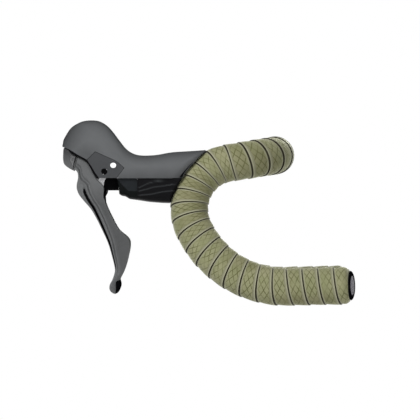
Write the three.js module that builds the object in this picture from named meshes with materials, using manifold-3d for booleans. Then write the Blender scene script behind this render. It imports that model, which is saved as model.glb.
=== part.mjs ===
// A drop handlebar wound with tape, with a brake and shift lever on each side.
// Millimetres. +Z is up, -X is forward and -Y is the rider's left.
// The origin is the middle of the straight top, where a stem holds the bar.
// Each side is built with +Y pointing outboard, and the left one is mirrored.
import * as THREE from 'three';
import { mergeVertices } from 'three/addons/utils/BufferGeometryUtils.js';
import Module from 'manifold-3d';

const wasm = await Module();
wasm.setup();

const degrees = Math.PI / 180;
const gap = 0.3; // left between pieces that touch

// Bar
const gripWidth = 400; // between the two ramps
const barRadius = 11.9;
const barWall = 2.2;
const stemZoneRadius = 15.9;
const stemZoneHalf = 35;
const taperHalf = 75; // where the taper beside the stem zone ends
const cornerRadius = 40;
const rampLength = 3.9;
const rampSlope = 9.3;
const frontRadius = 42;
const frontEnd = 295; // heading in the side view where the front bend ends
const dropRadius = 90.8;
const dropEnd = 361.3; // heading where the lower bend ends
const dropLength = 55.6;
const rampLean = 2; // outboard lean on the ramp
const frontLean = 12;
const endLean = 7;
const sides = 12;
const turnPerRing = 12;

// Tape
const tapeHigh = 17; // radius at the raised edge of a wrap
const tapeLow = 16.2; // radius just before that edge
const tapeEndRadius = 13.5;
const tapeEndTaper = 7;
const tapeTopHalf = 66; // distance from the middle where the tape stops
const finishRadius = 13;
const finishTaper = 18;
const finishOnTape = 9;
const wrapPitch = 14.2;
const tightPitch = 10.6; // round the front bend
const tightSpread = 52;
const edgeShare = 0.07; // share of a wrap that the raised edge takes
const finishWall = 0.7;
const finishOnBar = 12;

// End plug
const plugRimRadius = 13.2;
const plugHeight = 4.4;
const plugSpigot = 18;
const plugWall = 2;
const discRadius = 8.7;
const discHeight = 1.9;

// Clamp of the lever on the bar
const clampHeading = 235; // heading of the bar where the lever is clamped
const pivotAhead = 84.1; // brake pivot ahead of the clamp
const pivotAbove = 9.7;
const bandHalf = 6;
const bandWall = 1.7;
const bossRadius = 4;
const bossHeight = 3.2;
const boltRadius = 2.5;
const boltReach = 20;
const boltHeadRadius = 4.2;
const boltHeadHeight = 3;
const neckHalfWidth = 9;
const neckHalfHeight = 10;
const neckReach = 10.5;

// Lever body
const rubberWall = 2;
const sectionPower = 2.6; // roundness of the hood's cross-section
const sectionSides = 16;
const slotBehind = 6.5; // slot of the carrier, measured along the shift axis from the brake pivot
const slotAbove = 9;
const slotInner = 6.6;
const slotOuter = 6.4;

// Carrier, shift axis and lever blades
const shiftAxisRise = 21.2;
const axleRadius = 2.6;
const axleShortfall = 1.2; // how far the axle's ends lie inside the cheeks
const shiftAxleRadius = 1.5;
const knuckleRadius = 5.2;
const carrierHalf = 5.5;
const lugHigh = 4.5;
const rearLugEnd = 8;
const paddleHub = 3.6; // length of the paddle's hub on the shift axle
const bladeHub = 9.8;
const frontLug = 4;
const bridgeWall = 3;
const hubRadius = 4.4;
const webLow = -4; // the web from the blade's hub to its wing, measured above the shift axis
const webHigh = 0.5;
const webBack = 3;
const armInner = 4.1;
const armWall = 1.7;
const wingInner = 8.7;
const wingWall = 3.1;
const bladeInner = -7;
const paddleOuter = -6;
const paddleWall = 2.6;
const paddleWebLow = -11; // the two steps of the web from the paddle's hub to its plate
const paddleWebHigh = -5.8;
const paddleStemHigh = -2;
const paddleStemHalf = 4;
const capHalf = 9;
const blockInner = -5;
const blockOuter = 3.5;
const blockHeight = 11;
const coverHalf = 13;
const bootHalf = 14.6;
const pinRadius = 2.6;
const pinHeight = 1;

const colours = {
  tape: [0x86877a, 0.75, 0],
  black: [0x101010, 0.4, 0],
  rubber: [0x616365, 0.6, 0],
  cheek: [0x4c4e50, 0.55, 0],
  blade: [0x5f6061, 0.45, 0.2],
  steel: [0xb9bbbd, 0.3, 0.9],
  alloy: [0x2a2b2d, 0.35, 0.6],
  disc: [0x9c9ca8, 0.45, 0],
};

function mesh(name, geometry, colour) {
  const [color, roughness, metalness] = colours[colour];
  const made = new THREE.Mesh(geometry, new THREE.MeshStandardMaterial({ color, roughness, metalness }));
  made.name = name;
  return made;
}

// Joins and cuts work on closed solids, made from a geometry's merged corners.
function solid(geometry) {
  const bare = geometry.clone();
  bare.deleteAttribute('normal');
  bare.deleteAttribute('uv');
  const merged = mergeVertices(bare, 1e-4);
  return new wasm.Manifold(new wasm.Mesh({
    numProp: 3,
    vertProperties: merged.attributes.position.array,
    triVerts: new Uint32Array(merged.index.array),
  }));
}

function geometryOf(made) {
  const { vertProperties, triVerts } = made.getMesh();
  const geometry = new THREE.BufferGeometry();
  geometry.setAttribute('position', new THREE.BufferAttribute(vertProperties, 3));
  geometry.setIndex(new THREE.BufferAttribute(triVerts, 1));
  const flat = geometry.toNonIndexed();
  flat.computeVertexNormals();
  return flat;
}

// A skin collects corners and faces; faces that shrink to a line are left out.
class Skin {
  corners = [];
  faces = [];

  add(point) {
    this.corners.push(point.x, point.y, point.z);
    return this.corners.length / 3 - 1;
  }

  ring(points) {
    return points.map((point) => this.add(point));
  }

  quad(a, b, c, d) {
    this.faces.push(a, b, c, a, c, d);
  }

  // Faces between two rings, seen from outside when the second ring lies ahead.
  bridge(near, far) {
    near.forEach((corner, k) => {
      const next = (k + 1) % near.length;
      this.quad(corner, near[next], far[next], far[k]);
    });
  }

  fan(ring, centre, ahead) {
    ring.forEach((corner, k) => {
      const next = ring[(k + 1) % ring.length];
      this.faces.push(...(ahead ? [corner, next, centre] : [next, corner, centre]));
    });
  }

  geometry() {
    const all = new THREE.BufferGeometry();
    all.setAttribute('position', new THREE.Float32BufferAttribute(this.corners, 3));
    all.setIndex(this.faces);
    const merged = mergeVertices(all, 1e-4);
    const kept = [];
    const index = merged.index.array;
    for (let i = 0; i < index.length; i += 3) {
      const [a, b, c] = [index[i], index[i + 1], index[i + 2]];
      if (a !== b && b !== c && c !== a) kept.push(a, b, c);
    }
    merged.setIndex(kept);
    const flat = merged.toNonIndexed();
    flat.computeVertexNormals();
    return flat;
  }
}

// The bar's centreline on one side, measured from its end to the middle of the top.
// A stretch has a heading in the side view and a lean out of it, and both change evenly.
function stretches() {
  const bend = (radius, heading, lean) => {
    const meanLean = (lean[0] + lean[1]) / 2 * degrees;
    return {
      length: radius * (heading[1] - heading[0]) * degrees / Math.cos(meanLean),
      heading, lean, turn: heading[1] - heading[0],
    };
  };
  const straight = (length, heading, lean) => (
    { length, heading: [heading, heading], lean: [lean, lean], turn: 0 });
  const rampHeading = 180 + rampSlope;
  const cornerTurn = 90 - rampLean;
  const corner = {
    length: cornerRadius * cornerTurn * degrees,
    heading: [rampHeading, rampHeading], lean: [90, rampLean], turn: cornerTurn,
  };
  return {
    top: straight(gripWidth / 2 - cornerRadius, rampHeading, 90),
    corner,
    ramp: straight(rampLength, rampHeading, rampLean),
    front: bend(frontRadius, [rampHeading, frontEnd], [rampLean, frontLean]),
    drop: bend(dropRadius, [frontEnd, dropEnd], [frontLean, endLean]),
    end: straight(dropLength, dropEnd, endLean),
  };
}

function direction(heading, lean) {
  const [h, l] = [heading * degrees, lean * degrees];
  return new THREE.Vector3(Math.cos(l) * Math.cos(h), Math.sin(l), Math.cos(l) * Math.sin(h));
}

class Centreline {
  constructor(parts) {
    const step = 0.5;
    const place = new THREE.Vector3();
    const fromTop = [{ place: place.clone(), along: 0 }];
    const marks = [0];
    let along = 0;
    this.starts = {};
    for (const [name, part] of Object.entries(parts)) {
      this.starts[name] = along;
      const count = Math.ceil(part.length / step);
      for (let i = 0; i < count; i++) {
        const share = (i + 0.5) / count;
        const heading = THREE.MathUtils.lerp(...part.heading, share);
        const lean = THREE.MathUtils.lerp(...part.lean, share);
        place.addScaledVector(direction(heading, lean), part.length / count);
        fromTop.push({ place: place.clone(), along: along + part.length * (i + 1) / count });
      }
      const rings = Math.max(1, Math.ceil(part.turn / turnPerRing));
      for (let i = 1; i <= rings; i++) marks.push(along + part.length * i / rings);
      along += part.length;
    }
    this.length = along;
    this.marks = marks.map((mark) => along - mark).reverse();
    this.places = fromTop.reverse().map(({ place: p, along: a }) => ({ p, s: along - a }));
    this.addFrames();
  }

  // Each frame is the one before, turned as little as possible to fit the new tangent.
  addFrames() {
    const outboard = new THREE.Vector3(0, 1, 0);
    this.places.forEach((here, i) => {
      const before = this.places[Math.max(0, i - 1)].p;
      const after = this.places[Math.min(this.places.length - 1, i + 1)].p;
      here.t = after.clone().sub(before).normalize();
      outboard.addScaledVector(here.t, -outboard.dot(here.t)).normalize();
      here.outboard = outboard.clone();
      here.inward = outboard.clone().cross(here.t);
    });
  }

  at(s) {
    const found = this.places.findIndex((here) => here.s >= s);
    const high = found < 1 ? (found < 0 ? this.places.length - 1 : 1) : found;
    const [a, b] = [this.places[high - 1], this.places[high]];
    const share = (s - a.s) / (b.s - a.s);
    const mix = (key) => a[key].clone().lerp(b[key], share);
    return { p: mix('p'), t: mix('t'), outboard: mix('outboard'), inward: mix('inward') };
  }

  // A point at an angle round the bar: 0 is the inside of the bends, 90 degrees is outboard.
  around(s, angle, radius) {
    const here = this.at(s);
    return here.p
      .addScaledVector(here.inward, radius * Math.cos(angle))
      .addScaledVector(here.outboard, radius * Math.sin(angle));
  }

  ring(s, radius) {
    return Array.from({ length: sides }, (_, k) => this.around(s, 2 * Math.PI * k / sides, radius));
  }
}

const parts = stretches();
const line = new Centreline(parts);
const shortEdge = 0.08; // a cut's edges shorter than this are merged
const hole = 1 / Math.cos(Math.PI / sides); // makes the flats of a hole clear its radius
const clampShare = (clampHeading - parts.front.heading[0]) / parts.front.turn;
const clampAt = line.length - line.starts.front - clampShare * parts.front.length;
const clampPoint = line.at(clampAt).p;
const pivot = new THREE.Vector3(clampPoint.x - pivotAhead, clampPoint.y, clampPoint.z + pivotAbove);

// A walled tube along the bar, from rings that give the place and both radii.
function shellAlong(rings) {
  const skin = new Skin();
  const outer = rings.map((r) => skin.ring(line.ring(r.at, r.outer)));
  const inner = rings.map((r) => skin.ring(line.ring(r.at, r.inner * hole)));
  for (let i = 1; i < rings.length; i++) {
    skin.bridge(outer[i - 1], outer[i]);
    skin.bridge(inner[i], inner[i - 1]);
  }
  skin.bridge(inner[0], outer[0]);
  skin.bridge(outer.at(-1), inner.at(-1));
  return skin.geometry();
}

function solidAlong(from, to, radius) {
  const skin = new Skin();
  const places = [from, ...line.marks.filter((s) => s > from && s < to), to];
  const rings = places.map((s) => skin.ring(line.ring(s, radius * hole)));
  for (let i = 1; i < rings.length; i++) skin.bridge(rings[i - 1], rings[i]);
  skin.fan(rings[0], skin.add(line.at(from).p), false);
  skin.fan(rings.at(-1), skin.add(line.at(to).p), true);
  return skin.geometry();
}

function barRadiusAt(s) {
  const fromMiddle = line.length - s;
  const share = (taperHalf - fromMiddle) / (taperHalf - stemZoneHalf);
  return THREE.MathUtils.lerp(barRadius, stemZoneRadius, THREE.MathUtils.clamp(share, 0, 1));
}

// The whole bar, from the right end through the middle to the mirrored left end.
function handlebar() {
  const skin = new Skin();
  const middle = line.length;
  const places = [...line.marks, middle - taperHalf, middle - stemZoneHalf];
  places.sort((a, b) => a - b);
  const mirrored = (point) => new THREE.Vector3(point.x, -point.y, point.z);
  const ringsOf = (radiusAt) => {
    const right = places.map((s) => line.ring(s, radiusAt(s)));
    const left = right.slice(0, -1).reverse().map((ring) => ring.map(mirrored));
    return [...right, ...left].map((ring) => skin.ring(ring));
  };
  const outer = ringsOf(barRadiusAt);
  const inner = ringsOf((s) => (barRadiusAt(s) - barWall) * hole);
  for (let i = 1; i < outer.length; i++) {
    skin.bridge(outer[i - 1], outer[i]);
    skin.bridge(inner[i], inner[i - 1]);
  }
  skin.bridge(inner[0], outer[0]);
  skin.bridge(outer.at(-1), inner.at(-1));
  return mesh('handlebar', skin.geometry(), 'black');
}

// Distance along the bar after a number of wraps: the wraps lie closer round the front bend.
const wrapStarts = [gap];
while (wrapStarts.at(-1) < line.length) {
  const s = wrapStarts.at(-1);
  const fromBend = (s - clampAt + parts.front.length / 4) / tightSpread;
  wrapStarts.push(s + wrapPitch - (wrapPitch - tightPitch) * Math.exp(-fromBend * fromBend));
}

function alongAfter(wraps) {
  const whole = THREE.MathUtils.clamp(Math.floor(wraps), 0, wrapStarts.length - 2);
  return THREE.MathUtils.lerp(wrapStarts[whole], wrapStarts[whole + 1], wraps - whole);
}

const tapeTop = line.length - tapeTopHalf;

function tapeLimitAt(s) {
  const atPlug = tapeEndRadius + (tapeHigh - tapeEndRadius) * (s - gap) / tapeEndTaper;
  const atTop = finishRadius + (tapeHigh - finishRadius) * (tapeTop - s) / finishTaper;
  return Math.min(tapeHigh, atPlug, atTop);
}

function insideTapeRings() {
  const over = (at) => ({ at, inner: barRadiusAt(at) + gap });
  const pocket = (at) => ({ at, inner: barRadius + bandWall + 2 * gap });
  const edge = bandHalf + gap;
  const rings = line.marks
    .filter((s) => s > gap && s < tapeTop && Math.abs(s - clampAt) > edge + 2 * gap)
    .map(over);
  rings.push(over(gap), over(tapeTop), over(clampAt - edge - gap), over(clampAt + edge + gap));
  rings.push(pocket(clampAt - edge), pocket(clampAt), pocket(clampAt + edge));
  return rings.sort((a, b) => a.at - b.at);
}

// The wound tape: its outside is a screw surface with a low row and a raised row in each wrap.
function tapeGeometry() {
  const skin = new Skin();
  const rowShares = [0, edgeShare];
  const wraps = wrapStarts.length;
  const rowAngles = Array.from({ length: sides }, (_, k) => k / sides);
  const rows = [];
  for (let wrap = 0; wrap < wraps + 1; wrap++) {
    rowShares.forEach((share, low) => rows.push(rowAngles.map((angle) => {
      const s = THREE.MathUtils.clamp(alongAfter(wrap + share - angle), gap, tapeTop);
      const radius = Math.min(low ? tapeHigh : tapeLow, tapeLimitAt(s));
      return skin.add(line.around(s, 2 * Math.PI * angle, radius));
    })));
  }
  const corner = (row, k) => rows[Math.max(0, k < sides ? row : row - rowShares.length)][k % sides];
  for (let row = 1; row < rows.length; row++) {
    for (let k = 0; k < sides; k++) {
      skin.quad(corner(row - 1, k), corner(row - 1, k + 1), corner(row, k + 1), corner(row, k));
    }
  }
  const inner = insideTapeRings().map((r) => skin.ring(line.ring(r.at, r.inner * hole)));
  for (let i = 1; i < inner.length; i++) skin.bridge(inner[i], inner[i - 1]);
  skin.bridge(inner[0], rows[0]);
  skin.bridge(rows.at(-1), inner.at(-1));
  return skin.geometry();
}

function grown(outline, by) {
  return outline.map((point, i) => {
    const before = new THREE.Vector2(...outline.at(i - 1));
    const after = new THREE.Vector2(...outline[(i + 1) % outline.length]);
    const here = new THREE.Vector2(...point);
    const into = here.clone().sub(before).normalize();
    const out = after.sub(here).normalize();
    const normal = new THREE.Vector2(into.y + out.y, -into.x - out.x);
    const reach = by / (1 + into.dot(out));
    return [here.x + normal.x * reach, here.y + normal.y * reach];
  });
}

// A plate with a side outline in x and z, between two values of y, with a rounded rim.
function plate(outline, inner, outer, rim = 0) {
  const shape = new THREE.Shape(outline.map(([x, z]) => new THREE.Vector2(x, z)));
  const geometry = new THREE.ExtrudeGeometry(shape, {
    depth: outer - inner - 2 * rim,
    bevelEnabled: rim > 0,
    bevelThickness: rim,
    bevelSize: rim,
    bevelOffset: -rim,
    bevelSegments: 2,
  });
  geometry.rotateX(Math.PI / 2);
  geometry.translate(0, outer - rim, 0);
  return geometry;
}

// A turned piece whose profile gives radius and height, stood on a point along a direction.
function turned(profile, origin, along, segments = 16) {
  const points = profile.map(([r, h]) => new THREE.Vector2(r, h));
  const geometry = new THREE.LatheGeometry(points, segments);
  const up = new THREE.Vector3(0, 1, 0);
  geometry.applyQuaternion(new THREE.Quaternion().setFromUnitVectors(up, along.clone().normalize()));
  geometry.translate(origin.x, origin.y, origin.z);
  return geometry;
}

function rod(radius, from, to, origin, along, segments = 16) {
  return turned([[0, from], [radius, from], [radius, to], [0, to]], origin, along, segments);
}

const zero = new THREE.Vector3();
const acrossAxis = new THREE.Vector3(0, 1, 0);
const shiftAxis = new THREE.Vector3(-Math.cos(shiftAxisRise * degrees), 0, Math.sin(shiftAxisRise * degrees));

// A side-view point from its distance ahead along the shift axis and its height above it.
function onShiftAxis(ahead, above) {
  return [shiftAxis.x * ahead + shiftAxis.z * above, shiftAxis.z * ahead - shiftAxis.x * above];
}

function axisBlock(from, to, low, high, inner, outer) {
  const outline = [[from, low], [to, low], [to, high], [from, high]];
  return plate(outline.map(([a, h]) => onShiftAxis(a, h)).reverse(), inner, outer);
}

// Side outlines of the lever, in x and z from the brake pivot, anticlockwise from the front.
const hoodLowerFront = [[-37.3, 22], [-31.5, 19.8], [-23.4, 14.8], [-15.3, 10.3], [-11.7, 4.9], [-7.2, -2.7]];
const hoodBottom = -5.9;
const hoodRear = [[70.2, hoodBottom], [72.9, -0.9], [76.5, 3.6], [81, 8.5], [90.9, 18.9]];
const hoodOutline = [
  [-42, 60], [-42, 22.4], ...hoodLowerFront, [-4.5, hoodBottom], ...hoodRear, [91, 60],
];
const cheekOutline = [
  ...hoodLowerFront.slice(3), [-4.5, hoodBottom], [10.8, hoodBottom], [17.6, 3.1], [12.6, 7.6],
  [9, 9.9], [-8.1, 17.5],
];

// Cross-sections of the hood from its nose to the bar: place, top, half width and lowest point.
const hoodSections = [
  [-37.3, 24, 5, 20], [-36.6, 28, 8.5, 8], [-34, 33, 11, -4], [-30, 38.8, 13, -14],
  [-25, 42.4, 14.4, -22], [-18.9, 45, 15.4, -26], [-11.7, 45.8, 16, -26], [-4.5, 45, 16.2, -26],
  [2.7, 40.9, 16.3, -26], [8.1, 35.1, 16.3, -26], [13.5, 27.9, 16.3, -26], [18.9, 21.1, 16.2, -26],
  [24, 17, 16.2, -26], [31, 14.6, 16.4, -26], [45, 14.6, 16.8, -26], [60.3, 17.1, 17.2, -26],
  [76.5, 18.2, 17, -26], [93, 19.3, 16.6, -26],
];

// The hood's outer form, or a smaller one inside it; each section is a rounded rectangle.
function hoodForm(inset, nose) {
  const skin = new Skin();
  const rear = hoodSections.at(-1)[0];
  const length = rear - hoodSections[0][0];
  const rings = hoodSections.map(([x, top, half, low]) => {
    const place = x + nose * (rear - x) / length;
    const middle = (top + low) / 2;
    const height = Math.max((top - low) / 2 - inset, 1);
    const width = Math.max(half - inset, 1);
    return skin.ring(Array.from({ length: sectionSides }, (_, k) => {
      const angle = 2 * Math.PI * k / sectionSides;
      const [c, s] = [Math.cos(angle), Math.sin(angle)];
      const y = width * Math.sign(c) * Math.abs(c) ** (2 / sectionPower);
      const z = middle + height * Math.sign(s) * Math.abs(s) ** (2 / sectionPower);
      return new THREE.Vector3(place, y, z);
    }));
  });
  for (let i = 1; i < rings.length; i++) skin.bridge(rings[i - 1], rings[i]);
  const end = (section, place) => skin.add(
    new THREE.Vector3(place, 0, (section[1] + section[3]) / 2));
  skin.fan(rings[0], end(hoodSections[0], hoodSections[0][0] + nose), false);
  skin.fan(rings.at(-1), end(hoodSections.at(-1), rear), true);
  return solid(skin.geometry());
}

const wide = 40; // wider than the lever, for cuts that go right through

function cut(outline, inner = -wide, outer = wide) {
  return solid(plate(outline, inner, outer));
}

// The space round the bar, seen from the lever: bare bar, clamp band or wound tape.
function roundBar(radius, half) {
  const geometry = solidAlong(Math.max(0, clampAt - half), clampAt + half, radius);
  return solid(geometry.translate(-pivot.x, -pivot.y, -pivot.z));
}

const clampTangent = line.at(clampAt).t;
const clampOut = new THREE.Vector3(-clampTangent.z, 0, clampTangent.x).normalize();
const clampFromPivot = clampPoint.clone().sub(pivot);

// The neck that joins the lever body to the bar through the tape, in the side view.
function neckOutline(grow) {
  const along = new THREE.Vector3(clampOut.z, 0, -clampOut.x);
  const corner = (out, up) => {
    const point = clampFromPivot.clone().addScaledVector(clampOut, out).addScaledVector(along, up);
    return [point.x, point.z];
  };
  const [near, far, half] = [0, barRadius + neckReach + grow * 8, neckHalfHeight + grow];
  return [corner(near, half), corner(near, -half), corner(far, -half), corner(far, half)];
}

function rubberShell() {
  return hoodForm(0, 0).subtract(hoodForm(rubberWall, rubberWall));
}

const tapeSpace = roundBar(tapeHigh + gap, 60);

function hood() {
  return rubberShell()
    .intersect(cut(hoodOutline))
    .subtract(cut(grown(cheekOutline, gap)))
    .subtract(tapeSpace);
}

function cheek(inner, outer) {
  return rubberShell()
    .intersect(cut(cheekOutline, inner, outer))
    .subtract(solid(rod(axleRadius + gap, -wide, wide, zero, acrossAxis)));
}

function boltHoles() {
  const bandOutside = barRadius + bandWall + gap;
  const headSeat = bandOutside + boltReach - boltHeadHeight;
  const bore = rod(boltRadius + gap, barRadius, wide + boltReach, clampFromPivot, clampOut);
  const boss = rod(bossRadius + gap, barRadius, bandOutside + bossHeight + gap, clampFromPivot, clampOut);
  const head = rod(boltHeadRadius + gap, headSeat, wide + boltReach, clampFromPivot, clampOut);
  return solid(bore).add(solid(boss)).add(solid(head));
}

function leverBody() {
  const slot = [
    onShiftAxis(-slotBehind, -wide), onShiftAxis(-slotBehind, slotAbove),
    onShiftAxis(wide + 20, slotAbove), onShiftAxis(wide + 20, -wide),
  ];
  return hoodForm(rubberWall + gap, rubberWall + gap)
    .intersect(cut(grown(hoodOutline, -2 * gap)))
    .subtract(tapeSpace)
    .add(cut(neckOutline(0), -neckHalfWidth, neckHalfWidth))
    .subtract(roundBar(barRadius + gap, 45))
    .subtract(roundBar(barRadius + bandWall + gap, bandHalf + gap))
    .subtract(boltHoles())
    .subtract(cut(slot, -slotInner, slotOuter))
    .subtract(solid(rod(axleRadius + gap, -wide, wide, zero, acrossAxis)));
}

function clampBand() {
  const outer = barRadius + bandWall + gap;
  const rings = [-bandHalf, 0, bandHalf].map((by) => (
    { at: clampAt + by, inner: barRadius + gap, outer }));
  const ring = solid(shellAlong(rings).translate(-pivot.x, -pivot.y, -pivot.z));
  const [low, high] = [outer - bandWall / 2, outer + bossHeight];
  return ring
    .add(solid(rod(bossRadius, low, high, clampFromPivot, clampOut)))
    .subtract(solid(rod(boltRadius + gap, outer, high + 1, clampFromPivot, clampOut)));
}

function clampBolt() {
  const start = barRadius + bandWall + gap + gap;
  const seat = barRadius + bandWall + gap + boltReach - boltHeadHeight + gap;
  const socket = seat + boltHeadHeight / 2;
  const end = seat + boltHeadHeight;
  return turned([
    [0, start], [boltRadius, start], [boltRadius, seat], [boltHeadRadius, seat],
    [boltHeadRadius, end], [boltRadius, end], [boltRadius, socket], [0, socket],
  ], clampFromPivot, clampOut);
}

// Places along the shift axis, from the brake pivot forwards.
const paddleHubFrom = rearLugEnd + gap;
const paddleHubTo = paddleHubFrom + paddleHub;
const bladeHubFrom = paddleHubTo + gap;
const bladeHubTo = bladeHubFrom + bladeHub;
const frontLugFrom = bladeHubTo + gap;
const frontLugTo = frontLugFrom + frontLug;
const bridgeLow = hubRadius + 2 * gap;
const bridgeHigh = bridgeLow + bridgeWall;

function shiftBore(radius) {
  return solid(rod(radius, 0, wide, zero, shiftAxis, 12));
}

function carrier() {
  const arm = [[-6.2, -2], [-6.9, -7], [-6.1, -11.6], [-0.8, -14.6], [0, -9], [3, -3]];
  return solid(rod(knuckleRadius, -carrierHalf, carrierHalf, zero, acrossAxis, 14))
    .add(solid(axisBlock(0, rearLugEnd, -lugHigh, bridgeHigh, -carrierHalf, carrierHalf)))
    .add(solid(axisBlock(rearLugEnd - 1, frontLugTo, bridgeLow, bridgeHigh, -carrierHalf, carrierHalf)))
    .add(solid(axisBlock(frontLugFrom, frontLugTo, -lugHigh, bridgeHigh, -carrierHalf, carrierHalf)))
    .add(solid(plate(arm, armInner, armInner + armWall)))
    .subtract(solid(rod(axleRadius + gap, -wide, wide, zero, acrossAxis, 14)))
    .subtract(shiftBore(shiftAxleRadius + gap));
}

const bladeOutline = [
  [-26.6, 2], [-24.3, -0.5], [-23.5, -5], [-24.7, -12], [-24.5, -16], [-22.5, -21], [-18.9, -25.7],
  [-11.7, -34.2], [-6.7, -42.8], [-1.8, -52.7], [3.6, -64.8], [7.2, -77], [9.3, -86], [9.5, -89.6],
  [7.2, -97.2], [5, -101.5], [4.7, -105], [7.2, -108.5], [9.5, -109.4], [14, -106.2], [14.9, -102],
  [14.2, -97.7], [15.3, -95], [18, -89.6], [20.3, -83.3], [21.6, -77.9], [23.4, -67.1],
  [23.6, -63.5], [21.6, -59.4], [13.5, -52.2], [8.1, -42.8], [4.5, -35.6], [1.8, -29.3],
  [-0.4, -22.5], [-0.4, -14], [-6.7, -6.6], [-11.9, 3.6], [-15.5, 9], [-23.4, 13.2],
];
const bladeFrontPlate = 3.2; // thickness of the plate that the fingers pull
const bladePlateTop = -3;
const bladePlateFoot = -93;

// The hollow behind the front plate, open towards the bar and the middle of the bike.
function bladeHollow() {
  const front = bladeOutline
    .filter(([x, z]) => x < 9.4 && z < bladePlateTop && z > bladePlateFoot && z !== -89.6)
    .filter((_, i, all) => i < all.findIndex(([, z]) => z === -86) + 1);
  const shifted = front.map(([x, z]) => [x + bladeFrontPlate, z]);
  const last = shifted.at(-1);
  return [
    [-wide, wide], [-wide, bladePlateTop], [shifted[0][0], bladePlateTop], ...shifted,
    [last[0], bladePlateFoot], [wide, bladePlateFoot], [wide, wide],
  ];
}

function brakeBlade() {
  const wingOuter = wingInner + wingWall;
  return solid(plate(bladeOutline, bladeInner, wingOuter))
    .subtract(cut(bladeHollow(), -wide, wingInner))
    .add(solid(rod(hubRadius, bladeHubFrom, bladeHubTo, zero, shiftAxis)))
    .add(solid(axisBlock(bladeHubFrom + webBack, bladeHubTo, webLow, webHigh, 0, wingInner + 1)))
    .subtract(shiftBore(shiftAxleRadius + gap));
}

function shiftPaddle() {
  const outline = [
    [-15, -3.5], [-14, -12], [-13, -25], [-6, -36], [2, -52], [8, -66], [14, -62], [12, -52],
    [6, -40], [1, -28], [0.5, -22], [2.3, -18.5], [2.2, -12.5], [-6, -9.5], [-11, -3.5],
  ];
  const paddleInner = paddleOuter - paddleWall;
  const stem = axisBlock(paddleHubFrom, paddleHubTo, paddleWebLow, paddleStemHigh, -paddleStemHalf, 0);
  const web = axisBlock(
    paddleHubFrom, paddleHubTo, paddleWebLow, paddleWebHigh, paddleOuter - paddleWall / 2, 0);
  return solid(plate(outline, paddleInner, paddleOuter))
    .add(solid(rod(hubRadius, paddleHubFrom, paddleHubTo, zero, shiftAxis)))
    .add(solid(stem))
    .add(solid(web))
    .subtract(shiftBore(shiftAxleRadius + gap));
}

function frontCap() {
  const outline = [
    [-36.2, 20], [-36.9, 10.3], [-36, 6.7], [-33.3, 4], [-29.7, 1.8], [-28.2, 1.2],
    onShiftAxis(frontLugTo + gap, -1), onShiftAxis(frontLugTo + gap, 4.4), [-31, 17.8],
  ];
  return plate(outline, -capHalf, capHalf, 1.2);
}

const bodyBottom = hoodBottom + 2 * gap;

function shiftBlock() {
  const top = bodyBottom - gap;
  const low = top - blockHeight;
  return plate([[-0.9, top], [-0.9, low], [12.3, low], [10.8, top]], blockInner, blockOuter);
}

function bracketCover() {
  const top = hoodBottom - gap;
  const outline = [
    [11.5, top], [13.1, -16.7], [13.5, -20.3], [15.3, -21.6], [18.9, -22.3], [22.5, -24.6], [29.3, -25.5],
    [29.3, top],
  ];
  return plate(outline, -coverHalf, coverHalf, 1.5);
}

function lowerBoot() {
  const top = hoodBottom - gap;
  const outline = [
    [29.3 + gap, top], [29.3 + gap, -25.6], [40.5, -27.3], [59.2, -28.4], [63, -19.8], [68.5, -9],
    [69.6, top],
  ];
  return solid(plate(outline, -bootHalf, bootHalf, 2))
    .subtract(tapeSpace)
    .subtract(cut(neckOutline(gap), -neckHalfWidth - gap, neckHalfWidth + gap));
}

const cheekOutside = 16.2; // half width of the hood at the cheeks
const cheekPin = { x: 8.1, z: 5.4 };

function pinOnCheek() {
  const origin = new THREE.Vector3(cheekPin.x, cheekOutside, cheekPin.z);
  return rod(pinRadius, gap, gap + pinHeight, origin, acrossAxis);
}

function endPlug() {
  const start = line.at(0);
  const outward = start.t.clone().negate();
  const spigot = barRadius - barWall - gap;
  const bore = spigot - plugWall;
  const recess = plugHeight - 1;
  const lip = discRadius + gap;
  const profile = [
    [0, 1], [bore, 1], [bore, -plugSpigot], [spigot, -plugSpigot], [spigot, gap],
    [plugRimRadius - 0.3, gap], [plugRimRadius, 1.2], [plugRimRadius - 0.2, 2.6],
    [plugRimRadius - 1.7, plugHeight - 0.5], [lip + 0.6, plugHeight], [lip, plugHeight],
    [lip, recess], [0, recess],
  ];
  const disc = [
    [0, recess + gap], [discRadius, recess + gap], [discRadius, recess + 1.2],
    [discRadius * 0.7, recess + discHeight], [0, recess + discHeight + 0.3],
  ];
  return [
    ['end_plug', turned(profile, start.p, outward), 'black'],
    ['plug_disc', turned(disc, start.p, outward), 'disc'],
  ];
}

function finishTape() {
  const under = tapeTop - finishOnTape;
  const on = tapeTop + finishOnBar;
  const rings = [
    { at: under, inner: tapeLimitAt(under) + gap },
    { at: tapeTop, inner: finishRadius + gap },
    { at: tapeTop + gap, inner: barRadiusAt(tapeTop + gap) + gap },
    { at: on, inner: barRadiusAt(on) + gap },
  ];
  return shellAlong(rings.map((r) => ({ ...r, outer: (r.inner + finishWall) * hole })));
}

function barTape() {
  const opening = cut(neckOutline(gap), -neckHalfWidth - gap, neckHalfWidth + gap);
  const window = geometryOf(opening).translate(pivot.x, pivot.y, pivot.z);
  return geometryOf(solid(tapeGeometry()).subtract(solid(window)).simplify(shortEdge));
}

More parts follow.
